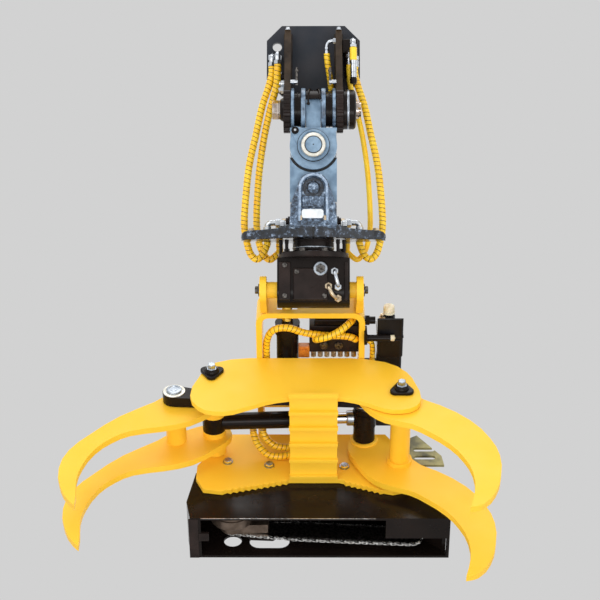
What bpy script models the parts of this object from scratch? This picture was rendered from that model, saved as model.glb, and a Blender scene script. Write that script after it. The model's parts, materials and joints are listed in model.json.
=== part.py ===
"""Grapple saw for a crane tip: a hung rotator, a tilting frame, two gripping arms and a swing-out saw bar.

Lengths are in metres and +Z is up. The origin is the middle of the coupler plate's back face. The frame
below the tilt pivot is modelled in its own axes: x across, y towards the back, z along the arm pins.
"""
import bpy
import bmesh
from math import atan2, cos, hypot, pi, radians, sin
from mathutils import Matrix, Vector

# Fits
GAP = 0.0003
ROUND = 20

# Coupler plate and its two ears
PLATE_WIDTH = 0.222
PLATE_HEIGHT = 0.168
PLATE_THICK = 0.015
PLATE_CUT = 0.036
BOLT_HOLE_RADIUS = 0.011
BOLT_HOLE_X = 0.086
BOLT_HOLE_Z = 0.033
EAR_X = 0.060
EAR_THICK = 0.015
EAR_RADIUS = 0.050
EAR_TOP = 0.065
EAR_SHELF = 0.040

# Hanging joints, as distances from the coupler plate's back face and middle
AXIS_BACK = 0.105
SWING_DROP = 0.135
CROSS_DROP = 0.229
HEAD_DROP = 0.439
TILT_DROP = 0.554
SWING_PIN_RADIUS = 0.0175
CROSS_PIN_RADIUS = 0.0165
SPOOL_RADIUS = 0.050
SPOOL_CORE = 0.040
HUB_HALF = 0.0175
CLEVIS_RADIUS = 0.054
CLEVIS_HALF = 0.060
CLEVIS_THICK = 0.016
LINK_HUB_RADIUS = 0.031

# Rotator
YOKE_HALF = 0.060
YOKE_DEPTH = 0.080
YOKE_PIN_RADIUS = 0.012
YOKE_PIN_DROP = 0.098
WING_REACH = 0.143
WING_END_RADIUS = 0.025
WING_THICK = 0.027
NECK_RADIUS = 0.048
ROTOR_FLANGE_RADIUS = 0.082
ROTOR_FLANGE_THICK = 0.010
FLANGE_BOLT_RADIUS = 0.0045
TILT_HEAD_HALF = 0.083
TILT_HEAD_RADIUS = 0.042
TILT_PIN_RADIUS = 0.0125
TILT_REST = radians(34)

# Tilt cylinder, as places across the arm pins' plane: v is towards the tips, w up along the pins
TILT_LUG_V = -0.056
TILT_LUG_W = 0.0
TILT_BASE_V = -0.060
TILT_BASE_W = -0.330
TILT_CYLINDER_U = -0.062
TILT_BARREL_RADIUS = 0.027
TILT_BARREL_LENGTH = 0.205
TILT_ROD_RADIUS = 0.014
TILT_EYE_HALF = 0.012
TILT_EYE_RADIUS = 0.027
TILT_LUG_PIN = 0.008
TILT_PLAY = 0.012

# Grapple frame
ARCH_LEFT = -0.135
ARCH_RIGHT = 0.121
ARCH_TOP = -0.067
ARCH_THICK = 0.014
ARCH_CORNER = 0.030
ARCH_FRONT = -0.0063
ARCH_DEPTH = 0.094
CHEEK_LEFT = -0.116
CHEEK_RIGHT = 0.107
CHEEK_THICK = 0.016
CHEEK_RADIUS = 0.032
TOP_PLATE_TOP = -0.190
TOP_PLATE_THICK = 0.012
PLATE_SPACING = 0.222
BOTTOM_PLATE_TOP = TOP_PLATE_TOP - PLATE_SPACING
BOTTOM_PLATE_THICK = 0.012
BOLT_HEAD_HEIGHT = 0.006
COLUMN_HALF = 0.055
COLUMN_BACK = 0.095
COLUMN_FRONT = 0.170
RIB_PITCH = 0.046
ARM_PIN_RADIUS = 0.0175
LEFT_PIVOT = (-0.237, 0.063)
RIGHT_PIVOT = (0.202, 0.133)

# Arms, stacked between the frame plates: right arm, tie link, left arm, with the gaps they run in
ARM_PLATE_THICK = 0.015
ARM_RUNNING_GAP = 0.002
LINK_THICK = 0.025
RIGHT_UPPER_TOP = TOP_PLATE_TOP - TOP_PLATE_THICK - ARM_RUNNING_GAP
LINK_TOP = RIGHT_UPPER_TOP - ARM_PLATE_THICK - ARM_RUNNING_GAP
LEFT_UPPER_TOP = LINK_TOP - LINK_THICK - ARM_RUNNING_GAP
BOLT_HEAD_GAP = 0.001
LOWER_PLATES_GAP = 0.015
RIGHT_LOWER_TOP = BOTTOM_PLATE_TOP + BOLT_HEAD_HEIGHT + BOLT_HEAD_GAP + ARM_PLATE_THICK
LEFT_LOWER_TOP = RIGHT_LOWER_TOP + LOWER_PLATES_GAP + ARM_PLATE_THICK
ARM_TUBE_RADIUS = 0.0235
LINK_PIN = (-0.325, 0.089)
LINK_FAR_PIN = (0.115, 0.092)
LINK_PIN_RADIUS = 0.012
LINK_FAR_RADIUS = 0.009
LINK_PLAY = 0.0095
LINK_HALF = 0.018
LINK_EYE_RADIUS = 0.027

# Grip cylinder between the left arm's pin and the right arm's lever
ROD_PIN = (0.121, 0.047)
ROD_PIN_RADIUS = 0.011
ROD_PLAY = 0.0075
GRIP_EYE_HALF = 0.020
GRIP_EYE_LIFT = 0.015
GRIP_AXIS_W = LEFT_LOWER_TOP + GRIP_EYE_LIFT + GRIP_EYE_HALF
GRIP_BARREL_RADIUS = 0.020
GRIP_BARREL_LENGTH = 0.262
GRIP_ROD_RADIUS = 0.013
GRIP_EYE_RADIUS = 0.028
GRIP_PORT_REACH = 0.095
GRIP_PORT_DROP = 0.032
GRIP_FITTING = (-0.020, 0.050)

# Saw box, bar and chain
BOX_SEAT = 0.001
BOX_TOP = BOTTOM_PLATE_TOP - BOTTOM_PLATE_THICK - BOX_SEAT
BOX_DEPTH = 0.115
BOX_LOW = BOX_TOP - BOX_DEPTH
BOX_WALL = 0.006
BOX_LEFT = -0.282
BOX_BACK = 0.133
BOX_FRONT = 0.303
BOX_MOUTH_INSET = 0.024
NOSE_ROOM = 0.089
PANEL_WIDTH = 0.147
PANEL_DROP = 0.058
SAW_PIVOT = (-0.189, 0.245)
MOTOR_RADIUS = 0.050
MOTOR_LENGTH = 0.040
BAR_ANGLE = radians(4)
BAR_DROP = 0.075
BAR_LEVEL = BOX_TOP - BAR_DROP
BAR_THICK = 0.005
BAR_HALF = 0.026
BAR_ROOT_HALF = 0.0176
BAR_NOSE = 0.412
BOX_RIGHT = SAW_PIVOT[0] + BAR_NOSE + NOSE_ROOM
CHAIN_THICK = 0.007
CHAIN_DEPTH = 0.008
CHAIN_PITCH = 0.022
SPROCKET_RADIUS = 0.0175
SHAFT_RADIUS = 0.006

# Oil tank and valves
TANK_BRACKET = 0.029
TANK_WIDTH = 0.061
TANK_LEFT = ARCH_RIGHT + TANK_BRACKET
TANK_RIGHT = TANK_LEFT + TANK_WIDTH
TANK_TOP = ARCH_TOP - 0.013
VALVE_DROP = 0.051
VALVE_HEIGHT = 0.048
VALVE_PORT_PITCH = 0.028
CAP_RADIUS = 0.018
CAP_HEIGHT = 0.022

# Hose ports on the rotator, with levels below the cross pin, and fittings on the ears
OUTER_PORT_BACK = 0.054
INNER_PORT_BACK = 0.074
PORT_DROP = 0.023
OUTER_PORT_X = 0.108
OUTER_PORT_LEVEL = -0.172
INNER_PORT_X = 0.080
INNER_PORT_LEVEL = -0.193
SHELF_LEVEL = 0.022
SLEEVE_END = -0.020
INNER_FITTING = (0.084, -0.066)
OUTER_FITTING = (0.098, -0.042)

# Hoses
HOSE_RADIUS = 0.0085
THIN_HOSE_RADIUS = 0.0065
HOSE_POINTS = 24

YELLOW = ("yellow_paint", (1.0, 0.52, 0.02), 0.35, 0.0)
BLACK = ("black_paint", (0.012, 0.011, 0.011), 0.35, 0.0)
BRACKET_BROWN = ("bracket_brown", (0.06, 0.05, 0.055), 0.45, 0.0)
LINK_BLUE = ("link_grey_blue", (0.38, 0.50, 0.62), 0.40, 0.2)
CAST_IRON = ("cast_iron", (0.05, 0.06, 0.08), 0.6, 0.3)
STEEL = ("bright_steel", (0.62, 0.62, 0.62), 0.25, 1.0)
ZINC = ("zinc_yellow", (0.75, 0.58, 0.28), 0.35, 0.9)
CREAM = ("cream_plastic", (0.80, 0.70, 0.50), 0.5, 0.0)
MOTOR_GREY = ("motor_grey", (0.14, 0.11, 0.09), 0.5, 0.2)
HOSE_YELLOW = ("hose_yellow", (0.95, 0.62, 0.05), 0.5, 0.0)

PARTS = "GrappleSaw"
CUTTERS = "Cutters"


def start_scene():
    for obj in list(bpy.data.objects):
        bpy.data.objects.remove(obj, do_unlink=True)
    for name in (PARTS, CUTTERS):
        collection = bpy.data.collections.get(name) or bpy.data.collections.new(name)
        if name not in bpy.context.scene.collection.children:
            bpy.context.scene.collection.children.link(collection)


def material(spec):
    name, colour, roughness, metallic = spec
    found = bpy.data.materials.get(name)
    if found:
        return found
    made = bpy.data.materials.new(name)
    made.use_nodes = True
    shader = made.node_tree.nodes["Principled BSDF"]
    shader.inputs["Base Color"].default_value = (*colour, 1.0)
    shader.inputs["Roughness"].default_value = roughness
    shader.inputs["Metallic"].default_value = metallic
    return made


def empty(name, parent=None, location=(0, 0, 0), turn=0.0):
    made = bpy.data.objects.new(name, None)
    made.empty_display_size = 0.03
    made.location = location
    made.rotation_euler = (turn, 0, 0)
    made.parent = parent
    bpy.data.collections[CUTTERS].objects.link(made)
    return made


def object_from(bm, axes, name="shape"):
    bmesh.ops.recalc_face_normals(bm, faces=bm.faces)
    mesh = bpy.data.meshes.new(name)
    bm.to_mesh(mesh)
    bm.free()
    made = bpy.data.objects.new(name, mesh)
    made.parent = axes
    bpy.data.collections[CUTTERS].objects.link(made)
    return made


def box(axes, low, high):
    """A block from the low corner to the high corner."""
    bm = bmesh.new()
    bmesh.ops.create_cube(bm, size=1.0)
    size = Vector(high) - Vector(low)
    middle = (Vector(high) + Vector(low)) / 2
    bmesh.ops.transform(bm, matrix=Matrix.LocRotScale(middle, None, size), verts=bm.verts)
    return object_from(bm, axes)


def rod(axes, start, end, radius, segments=ROUND, end_radius=None):
    """A cylinder between two points, or a cone where end_radius differs."""
    start, end = Vector(start), Vector(end)
    line = end - start
    bm = bmesh.new()
    bmesh.ops.create_cone(bm, cap_ends=True, segments=segments, radius1=radius,
                          radius2=radius if end_radius is None else end_radius, depth=line.length)
    turn = line.to_track_quat("Z", "Y")
    bmesh.ops.transform(bm, matrix=Matrix.LocRotScale((start + end) / 2, turn, None), verts=bm.verts)
    return object_from(bm, axes)


def arc(centre, radius, first, last, count):
    """Points round a centre, from the first angle to the last, in degrees."""
    points = []
    for step in range(count + 1):
        angle = radians(first + (last - first) * step / count)
        points.append((centre[0] + radius * cos(angle), centre[1] + radius * sin(angle)))
    return points


PLANES = {
    "XY": Matrix.Identity(3),
    "XZ": Matrix(((1, 0, 0), (0, 0, -1), (0, 1, 0))),
    "YZ": Matrix(((0, 0, 1), (1, 0, 0), (0, 1, 0))),
}
NORMALS = {"XY": Vector((0, 0, 1)), "XZ": Vector((0, 1, 0)), "YZ": Vector((1, 0, 0))}


def baked(source, axes):
    """The evaluated mesh of a curve or a modified shape, as a plain mesh object in the same axes."""
    bpy.context.view_layer.update()
    graph = bpy.context.evaluated_depsgraph_get()
    mesh = bpy.data.meshes.new_from_object(source.evaluated_get(graph))
    bm = bmesh.new()
    bm.from_mesh(mesh)
    bmesh.ops.remove_doubles(bm, verts=bm.verts, dist=0.00002)
    bmesh.ops.transform(bm, matrix=source.matrix_basis, verts=bm.verts)
    bpy.data.objects.remove(source, do_unlink=True)
    return object_from(bm, axes)


def plate(axes, outline, low, high, plane="XY", smooth=False):
    """A flat plate of the outline, lying in the plane and reaching from low to high along its normal.

    A smooth outline is a curve through its points; each point may carry True as a third value to be a corner.
    """
    curve = bpy.data.curves.new("outline", "CURVE")
    curve.dimensions = "2D"
    curve.fill_mode = "BOTH"
    curve.extrude = (high - low) / 2
    if smooth:
        spline = curve.splines.new("BEZIER")
        spline.resolution_u = 2
        spline.bezier_points.add(len(outline) - 1)
        for point, place in zip(spline.bezier_points, outline):
            point.co = (place[0], place[1], 0)
            corner = len(place) > 2
            point.handle_left_type = "VECTOR" if corner else "AUTO"
            point.handle_right_type = "VECTOR" if corner else "AUTO"
    else:
        spline = curve.splines.new("POLY")
        spline.points.add(len(outline) - 1)
        for point, place in zip(spline.points, outline):
            point.co = (place[0], place[1], 0, 1)
    spline.use_cyclic_u = True
    made = bpy.data.objects.new("outline", curve)
    bpy.data.collections[CUTTERS].objects.link(made)
    made.matrix_basis = Matrix.Translation(NORMALS[plane] * (low + high) / 2) @ PLANES[plane].to_4x4()
    return baked(made, axes)


def turned(axes, profile, start, direction):
    """A turned shape: profile is (radius, distance) pairs from the far end on the axis back to the start."""
    bm = bmesh.new()
    verts = [bm.verts.new((radius, 0, height)) for radius, height in profile]
    for first, second in zip(verts, verts[1:]):
        bm.edges.new((first, second))
    shape = object_from(bm, None)
    screw = shape.modifiers.new("turn", "SCREW")
    screw.steps = ROUND
    screw.render_steps = ROUND
    screw.use_merge_vertices = True
    screw.merge_threshold = 0.00002
    shape.matrix_basis = Matrix.LocRotScale(Vector(start), Vector(direction).to_track_quat("Z", "Y"), None)
    return baked(shape, axes)


def smooth_route(points, count):
    """Evenly spaced points on a smooth curve through the given points."""
    stops = [Vector(p) for p in points]
    ends = [2 * stops[0] - stops[1], *stops, 2 * stops[-1] - stops[-2]]
    fine = []
    for before, first, second, after in zip(ends, ends[1:], ends[2:], ends[3:]):
        for step in range(12):
            t = step / 12
            fine.append(0.5 * (2 * first + (second - before) * t
                               + (2 * before - 5 * first + 4 * second - after) * t ** 2
                               + (3 * first - before - 3 * second + after) * t ** 3))
    fine.append(stops[-1])
    lengths = [0.0]
    for first, second in zip(fine, fine[1:]):
        lengths.append(lengths[-1] + (second - first).length)
    route = []
    place = 0
    for step in range(count + 1):
        target = lengths[-1] * step / count
        while place < len(fine) - 2 and lengths[place + 1] < target:
            place += 1
        share = (target - lengths[place]) / (lengths[place + 1] - lengths[place])
        route.append(fine[place].lerp(fine[place + 1], share))
    return route


def tube(axes, points, radius, count):
    """A round tube along a smooth route through the points."""
    curve = bpy.data.curves.new("route", "CURVE")
    curve.dimensions = "3D"
    curve.bevel_depth = radius
    curve.bevel_resolution = 2
    curve.use_fill_caps = True
    spline = curve.splines.new("POLY")
    route = smooth_route(points, count)
    spline.points.add(len(route) - 1)
    for point, place in zip(spline.points, route):
        point.co = (*place, 1)
    made = bpy.data.objects.new("route", curve)
    bpy.data.collections[CUTTERS].objects.link(made)
    return baked(made, axes)


def combine(target, operation, tools):
    for tool in tools:
        modifier = target.modifiers.new(operation.lower(), "BOOLEAN")
        modifier.operation = operation
        modifier.solver = "EXACT"
        modifier.object = tool
        tool.hide_render = True
        tool.display_type = "WIRE"
        tool.name = "cutter"


def join(target, *tools):
    combine(target, "UNION", tools)
    return target


def cut(target, *tools):
    combine(target, "DIFFERENCE", tools)
    return target


def part(target, name, spec):
    """Names the finished piece, gives it its material and moves it to the parts' collection."""
    target.name = name
    target.data.name = name
    target.data.materials.clear()
    target.data.materials.append(material(spec))
    target.data.shade_smooth()
    target.data.set_sharp_from_angle(angle=radians(35))
    bpy.data.collections[CUTTERS].objects.unlink(target)
    bpy.data.collections[PARTS].objects.link(target)
    return target


def at(place, w):
    """A point of the grapple frame, from its (u, v) place and its level w."""
    return Vector((place[0], -place[1], w))


def flat(points):
    """An outline of (u, v) places in the frame's own axes."""
    return [(p[0], -p[1], *p[2:]) for p in points]


def coupler_plate():
    half, top = PLATE_WIDTH / 2, PLATE_HEIGHT / 2
    outline = []
    for sx, sz in ((1, 1), (-1, 1), (-1, -1), (1, -1)):
        corner = [(sx * half, sz * (top - PLATE_CUT)), (sx * (half - PLATE_CUT), sz * top)]
        outline += corner if sx * sz > 0 else corner[::-1]
    body = plate(None, outline, -PLATE_THICK, 0, "XZ")
    for sx in (-1, 1):
        for sz in (-1, 1):
            x, z = sx * BOLT_HOLE_X, sz * BOLT_HOLE_Z
            cut(body, rod(None, (x, 0.01, z), (x, -PLATE_THICK - 0.01, z), BOLT_HOLE_RADIUS, 20))
    part(body, "coupler_plate", BRACKET_BROWN)


def ear(side, name):
    """A plate standing on the coupler plate, with a toothed round end at the swing pin."""
    root = -PLATE_THICK - GAP
    rim = []
    for step in range(33):
        angle = radians(170 + 160 * step / 32)
        radius = EAR_RADIUS - (0.0022 if step % 2 and 2 < step < 30 else 0)
        rim.append((-AXIS_BACK + radius * cos(angle), -SWING_DROP + radius * sin(angle)))
    outline = [(root, EAR_TOP), (root - EAR_SHELF, EAR_TOP), *rim, (root, -PLATE_HEIGHT / 2 + 0.004)]
    middle = side * EAR_X
    body = plate(None, outline, middle - EAR_THICK / 2, middle + EAR_THICK / 2, "YZ")
    start = Vector((middle - EAR_THICK, -AXIS_BACK, -SWING_DROP))
    cut(body, rod(None, start, start + Vector((2 * EAR_THICK, 0, 0)), SWING_PIN_RADIUS + GAP))
    part(body, name, BRACKET_BROWN)


def swing_pin():
    """The cross-drilled pin through the ears, with its left nut, right boss and right nut."""
    outer = EAR_X + EAR_THICK / 2 + GAP

    def at_x(x):
        return Vector((x, -AXIS_BACK, -SWING_DROP))

    body = rod(None, at_x(-outer - 0.020), at_x(outer + 0.036), SWING_PIN_RADIUS)
    join(body, rod(None, at_x(-outer - 0.012), at_x(-outer), SWING_PIN_RADIUS + 0.012),
         rod(None, at_x(-outer - 0.028), at_x(-outer - 0.0115), SWING_PIN_RADIUS + 0.007, 6),
         rod(None, at_x(outer), at_x(outer + 0.029), 0.038),
         rod(None, at_x(outer + 0.0285), at_x(outer + 0.043), SWING_PIN_RADIUS + 0.008, 6))
    part(body, "swing_pin", STEEL)


def hose_bulkhead(side, name):
    """A shelf on the ear's outer side with two hose fittings."""
    inner = side * (EAR_X + EAR_THICK / 2 + GAP)
    outer = side * (EAR_X + EAR_THICK / 2 + 0.040)
    low, high = sorted((inner, outer))
    body = box(None, (low, -0.078, SHELF_LEVEL), (high, -0.030, SHELF_LEVEL + 0.008))
    for place in (INNER_FITTING, OUTER_FITTING):
        x, y = side * place[0], place[1]
        join(body, rod(None, (x, y, SHELF_LEVEL + 0.023), (x, y, SHELF_LEVEL - 0.026), HOSE_RADIUS, 6),
             rod(None, (x, y, SHELF_LEVEL - 0.010), (x, y, SLEEVE_END), THIN_HOSE_RADIUS, 16))
    part(body, name, STEEL)


def cross_link(axes):
    """The link between the two hanging pins: a hub on the swing pin over a clevis for the cross pin."""
    drop = CROSS_DROP - SWING_DROP
    web_top = -SPOOL_RADIUS - 0.002
    web_low = web_top - 0.008
    body = rod(axes, (-HUB_HALF, 0, 0), (HUB_HALF, 0, 0), SPOOL_CORE)
    join(body, box(axes, (-HUB_HALF + 0.001, -0.038, web_low + 0.002), (HUB_HALF - 0.001, 0.038, 0)),
         box(axes, (-0.0535, -CLEVIS_HALF, web_low), (0.0535, CLEVIS_HALF, web_top)))
    inner = CLEVIS_HALF - CLEVIS_THICK
    outline = [(0.050, web_top - 0.001), *arc((0, -drop), CLEVIS_RADIUS, 6, -186, 28), (-0.050, web_top - 0.001)]
    for low, high in ((-CLEVIS_HALF - 0.001, -inner), (inner, CLEVIS_HALF + 0.001)):
        join(body, plate(axes, outline, low, high, "XZ"))
    cut(body, rod(axes, (-0.06, 0, 0), (0.06, 0, 0), SWING_PIN_RADIUS + GAP),
        rod(axes, (0, -0.1, -drop), (0, 0.1, -drop), CROSS_PIN_RADIUS + GAP))
    part(body, "cross_link", LINK_BLUE)


def brake_spool(axes, side, name):
    """Friction discs on a core, clamped between the hub and an ear."""
    inner, outer = HUB_HALF + GAP, EAR_X - EAR_THICK / 2 - GAP
    length = outer - inner
    bore = SWING_PIN_RADIUS + GAP
    profile = [(bore, 0), (bore, length), (SPOOL_RADIUS, length), (SPOOL_RADIUS, length - 0.007),
               (SPOOL_CORE, length - 0.008), (SPOOL_CORE, 0.013), (SPOOL_RADIUS, 0.012),
               (SPOOL_RADIUS, 0.002), (SPOOL_CORE, 0.0), (bore, 0)]
    part(turned(axes, profile, (side * inner, 0, 0), (side, 0, 0)), name, STEEL)


def cross_pin(axes):
    """The pin that the rotator swings on from side to side, with its stepped head and nut."""
    z = -(CROSS_DROP - SWING_DROP)
    face = CLEVIS_HALF + 0.001
    body = rod(axes, (0, -face - 0.012, z), (0, face + 0.014, z), CROSS_PIN_RADIUS)
    join(body, rod(axes, (0, -face - 0.017, z), (0, -face - 0.0085, z), 0.0225),
         rod(axes, (0, face + GAP, z), (0, face + 0.012, z), 0.025, 6))
    part(body, "cross_pin", STEEL)


def cross_pin_keeper(axes):
    """The drop-shaped flange that holds the cross pin, with its bolt."""
    z = -(CROSS_DROP - SWING_DROP)
    face = CLEVIS_HALF + 0.001 + GAP
    bolt = (-0.040, z + 0.034)
    outline = [*arc((0, z), 0.034, -170, 60, 20), *arc(bolt, 0.010, 60, 190, 6)]
    body = plate(axes, outline, -face - 0.008, -face, "XZ")
    cut(body, rod(axes, (0, -0.1, z), (0, 0, z), CROSS_PIN_RADIUS + GAP))
    join(body, rod(axes, (bolt[0], -face - 0.013, bolt[1]), (bolt[0], -face - 0.007, bolt[1]), 0.007, 6))
    part(body, "cross_pin_keeper", LINK_BLUE)


def lower_link(axes):
    """The lower half of the link: a hub between the clevis plates over a block with hollowed ends."""
    inner = CLEVIS_HALF - CLEVIS_THICK - GAP
    body = box(axes, (-0.0535, -CLEVIS_HALF, -0.128), (0.0535, CLEVIS_HALF, -0.026))
    hollow = CLEVIS_RADIUS + 0.0013
    cut(body, rod(axes, (0, -CLEVIS_HALF - 0.01, 0), (0, -inner, 0), hollow, 40),
        rod(axes, (0, inner, 0), (0, CLEVIS_HALF + 0.01, 0), hollow, 40))
    join(body, rod(axes, (0, -inner, 0), (0, inner, 0), LINK_HUB_RADIUS),
         box(axes, (-LINK_HUB_RADIUS + 0.001, -inner + 0.001, -0.030), (LINK_HUB_RADIUS - 0.001, inner - 0.001, 0)))
    cut(body, rod(axes, (0, -0.1, 0), (0, 0.1, 0), CROSS_PIN_RADIUS + GAP),
        rod(axes, (0, -0.1, -YOKE_PIN_DROP), (0, 0.1, -YOKE_PIN_DROP), YOKE_PIN_RADIUS + GAP))
    part(body, "lower_link", LINK_BLUE)


def rotator_yoke(axes):
    """The cast rotator housing: cheeks in front of and behind the link, and a wing that guides the hoses."""
    bottom = -(HEAD_DROP - CROSS_DROP) + GAP
    wing_top = bottom + WING_THICK
    body_top = -0.128 - GAP
    body = box(axes, (-YOKE_HALF, -YOKE_DEPTH, wing_top - 0.002), (YOKE_HALF, YOKE_DEPTH, body_top))
    top = -YOKE_PIN_DROP
    cheek = [(0.053, body_top - 0.010), *arc((0, top + 0.002), 0.0335, 20, 160, 14), (-0.053, body_top - 0.010)]
    for low, high in ((-YOKE_DEPTH - 0.005, -CLEVIS_HALF - GAP), (CLEVIS_HALF + GAP, YOKE_DEPTH + 0.005)):
        join(body, plate(axes, cheek, low, high, "XZ"))
    wing = [*arc((0, 0), 0.086, 52, 128, 10), *arc((-WING_REACH, 0), WING_END_RADIUS, 110, 250, 10),
            *arc((0, 0), 0.086, 232, 308, 10), *arc((WING_REACH, 0), WING_END_RADIUS, -70, 70, 10)]
    join(body, plate(axes, wing, bottom, wing_top))
    recess = [*arc((0, top + 0.002), 0.024, 10, 170, 12), (-0.026, top - 0.014), (0.026, top - 0.014)]
    cut(body, plate(axes, recess, -YOKE_DEPTH - 0.010, -YOKE_DEPTH - 0.001, "XZ"),
        rod(axes, (0, -0.1, top), (0, 0.1, top), YOKE_PIN_RADIUS + GAP),
        box(axes, (-0.0015, -YOKE_DEPTH - 0.02, -0.166), (0.0015, -YOKE_DEPTH + 0.003, body_top - 0.002)))
    for side in (-1, 1):
        x = side * WING_REACH
        join(body, rod(axes, (x, -0.006, wing_top - 0.002), (x, -0.006, wing_top + 0.007), 0.009, 6))
    part(body, "rotator_yoke", CAST_IRON)


def yoke_pin(axes):
    end = YOKE_DEPTH + 0.002
    body = rod(axes, (0, -end, -YOKE_PIN_DROP), (0, end, -YOKE_PIN_DROP), YOKE_PIN_RADIUS)
    part(body, "yoke_pin", CAST_IRON)


def port_block(axes, side, name):
    """Two hose elbows on one flange at the side of the rotator."""
    face = side * (YOKE_HALF + GAP)
    low, high = sorted((face, face + side * 0.008))
    body = box(axes, (low, OUTER_PORT_BACK - 0.012, -0.182), (high, INNER_PORT_BACK + 0.010, -0.137))
    for x, y, level in ((OUTER_PORT_X, OUTER_PORT_BACK, OUTER_PORT_LEVEL),
                        (INNER_PORT_X, INNER_PORT_BACK, INNER_PORT_LEVEL)):
        z = level + PORT_DROP
        route = [(face + side * 0.004, y, z), (side * (x - 0.012), y, z), (side * (x - 0.003), y, z - 0.003),
                 (side * x, y, z - 0.012), (side * x, y, level + 0.004)]
        join(body, tube(axes, route, HOSE_RADIUS, 9),
             rod(axes, (side * x, y, level + 0.012), (side * x, y, level), HOSE_RADIUS + 0.002, 6))
    part(body, name, STEEL)


def rotor_flange(axes):
    """The rotator's turning neck, its bottom flange and the ring of flange bolts."""
    low = TILT_DROP - HEAD_DROP
    seat = -low + 0.072
    profile = [(0, -GAP), (NECK_RADIUS, -GAP), (NECK_RADIUS, seat + ROTOR_FLANGE_THICK),
               (ROTOR_FLANGE_RADIUS, seat + ROTOR_FLANGE_THICK), (ROTOR_FLANGE_RADIUS, seat), (0, seat)]
    body = turned(axes, profile, (0, 0, 0), (0, 0, 1))
    for step in range(8):
        angle = radians(22.5 + 45 * step)
        x, y = 0.068 * cos(angle), 0.068 * sin(angle)
        join(body, rod(axes, (x, y, seat + 0.001), (x, y, -0.008), FLANGE_BOLT_RADIUS, 12))
    part(body, "rotor_flange", CAST_IRON)


def lug_place():
    """The tilt cylinder's upper pin, in the rotor's own upright axes."""
    y = -TILT_LUG_V * cos(TILT_REST) - TILT_LUG_W * sin(TILT_REST)
    z = -TILT_LUG_V * sin(TILT_REST) + TILT_LUG_W * cos(TILT_REST)
    return y, z - (TILT_DROP - HEAD_DROP)


def tilt_head(axes):
    """The block that the grapple frame hangs on, with a slotted lug behind it for the tilt cylinder."""
    pivot = -(TILT_DROP - HEAD_DROP)
    top = pivot + 0.072 - GAP
    outline = [(0.040, top), (-0.040, top), *arc((0, pivot), TILT_HEAD_RADIUS, 180, 360, 20)]
    body = plate(axes, outline, -TILT_HEAD_HALF, TILT_HEAD_HALF, "YZ")
    y, z = lug_place()
    ear_half = TILT_EYE_HALF + 0.014
    ears = [(0.020, top - 0.002), (y, top - 0.002), *arc((y, z), 0.020, 60, -80, 12), (0.020, z - 0.024)]
    join(body, plate(axes, ears, TILT_CYLINDER_U - ear_half + 0.012, TILT_CYLINDER_U + ear_half, "YZ"))
    slot = TILT_EYE_HALF + 0.001
    reach = TILT_EYE_RADIUS + TILT_PLAY + 0.002
    swept = arc((y, z), reach, 0, 360, 24)[:-1]
    cut(body, plate(axes, swept, TILT_CYLINDER_U - slot, TILT_CYLINDER_U + slot, "YZ"),
        box(axes, (TILT_CYLINDER_U - slot, 0.006, pivot - 0.06), (TILT_CYLINDER_U + slot, 0.12, z)),
        rod(axes, (-0.1, 0, pivot), (0.1, 0, pivot), TILT_PIN_RADIUS + GAP))
    join(body, rod(axes, (TILT_CYLINDER_U - ear_half + 0.013, y, z), (TILT_CYLINDER_U + ear_half - 0.001, y, z),
                   TILT_LUG_PIN, 20))
    part(body, "tilt_head", BLACK)


def tilt_pin(axes):
    left = CHEEK_LEFT - CHEEK_THICK / 2 - GAP
    right = CHEEK_RIGHT + CHEEK_THICK / 2 + GAP
    body = rod(axes, (left - 0.010, 0, 0), (right + 0.004, 0, 0), TILT_PIN_RADIUS)
    join(body, rod(axes, (left - 0.014, 0, 0), (left, 0, 0), 0.019, 6),
         rod(axes, (right, 0, 0), (right + 0.006, 0, 0), 0.018))
    part(body, "tilt_pin", STEEL)


def cheek(axes, middle, inner_side, name):
    """An upright plate on the arch with a collar that reaches the tilt head."""
    low, high = middle - CHEEK_THICK / 2, middle + CHEEK_THICK / 2
    foot = ARCH_TOP + GAP
    back, front = -ARCH_FRONT + ARCH_DEPTH - 0.010, -ARCH_FRONT + 0.002
    outline = [(front, foot), *arc((0, 0), CHEEK_RADIUS, -150, -330, 16), (back, foot)]
    body = plate(axes, outline, low, high, "YZ")
    start = high if inner_side > 0 else low
    end = inner_side * -(TILT_HEAD_HALF + GAP)
    join(body, rod(axes, (start - inner_side * 0.002, 0, 0), (end, 0, 0), 0.019))
    cut(body, rod(axes, (-0.2, 0, 0), (0.2, 0, 0), TILT_PIN_RADIUS + GAP))
    part(body, name, YELLOW)


def arch(axes):
    """A bent plate: the frame's back, open below, with a slot for the tilt cylinder's rod."""
    bottom = BOTTOM_PLATE_TOP - BOTTOM_PLATE_THICK
    r, t = ARCH_CORNER, ARCH_THICK
    outer = [(ARCH_RIGHT, bottom), *arc((ARCH_RIGHT - r, ARCH_TOP - r), r, 0, 90, 8),
             *arc((ARCH_LEFT + r, ARCH_TOP - r), r, 90, 180, 8), (ARCH_LEFT, bottom)]
    inner = [(ARCH_LEFT + t, bottom), *arc((ARCH_LEFT + r, ARCH_TOP - r), r - t, 180, 90, 8),
             *arc((ARCH_RIGHT - r, ARCH_TOP - r), r - t, 90, 0, 8), (ARCH_RIGHT - t, bottom)]
    body = plate(axes, outer + inner, -ARCH_FRONT, -ARCH_FRONT + ARCH_DEPTH, "XZ")
    y = -TILT_LUG_V
    slot_half = TILT_ROD_RADIUS + 0.010
    cut(body, box(axes, (TILT_CYLINDER_U - slot_half, y - 0.030, ARCH_TOP - 0.04),
                  (TILT_CYLINDER_U + slot_half, y + 0.024, ARCH_TOP + 0.02)))
    part(body, "arch_frame", YELLOW)


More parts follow.
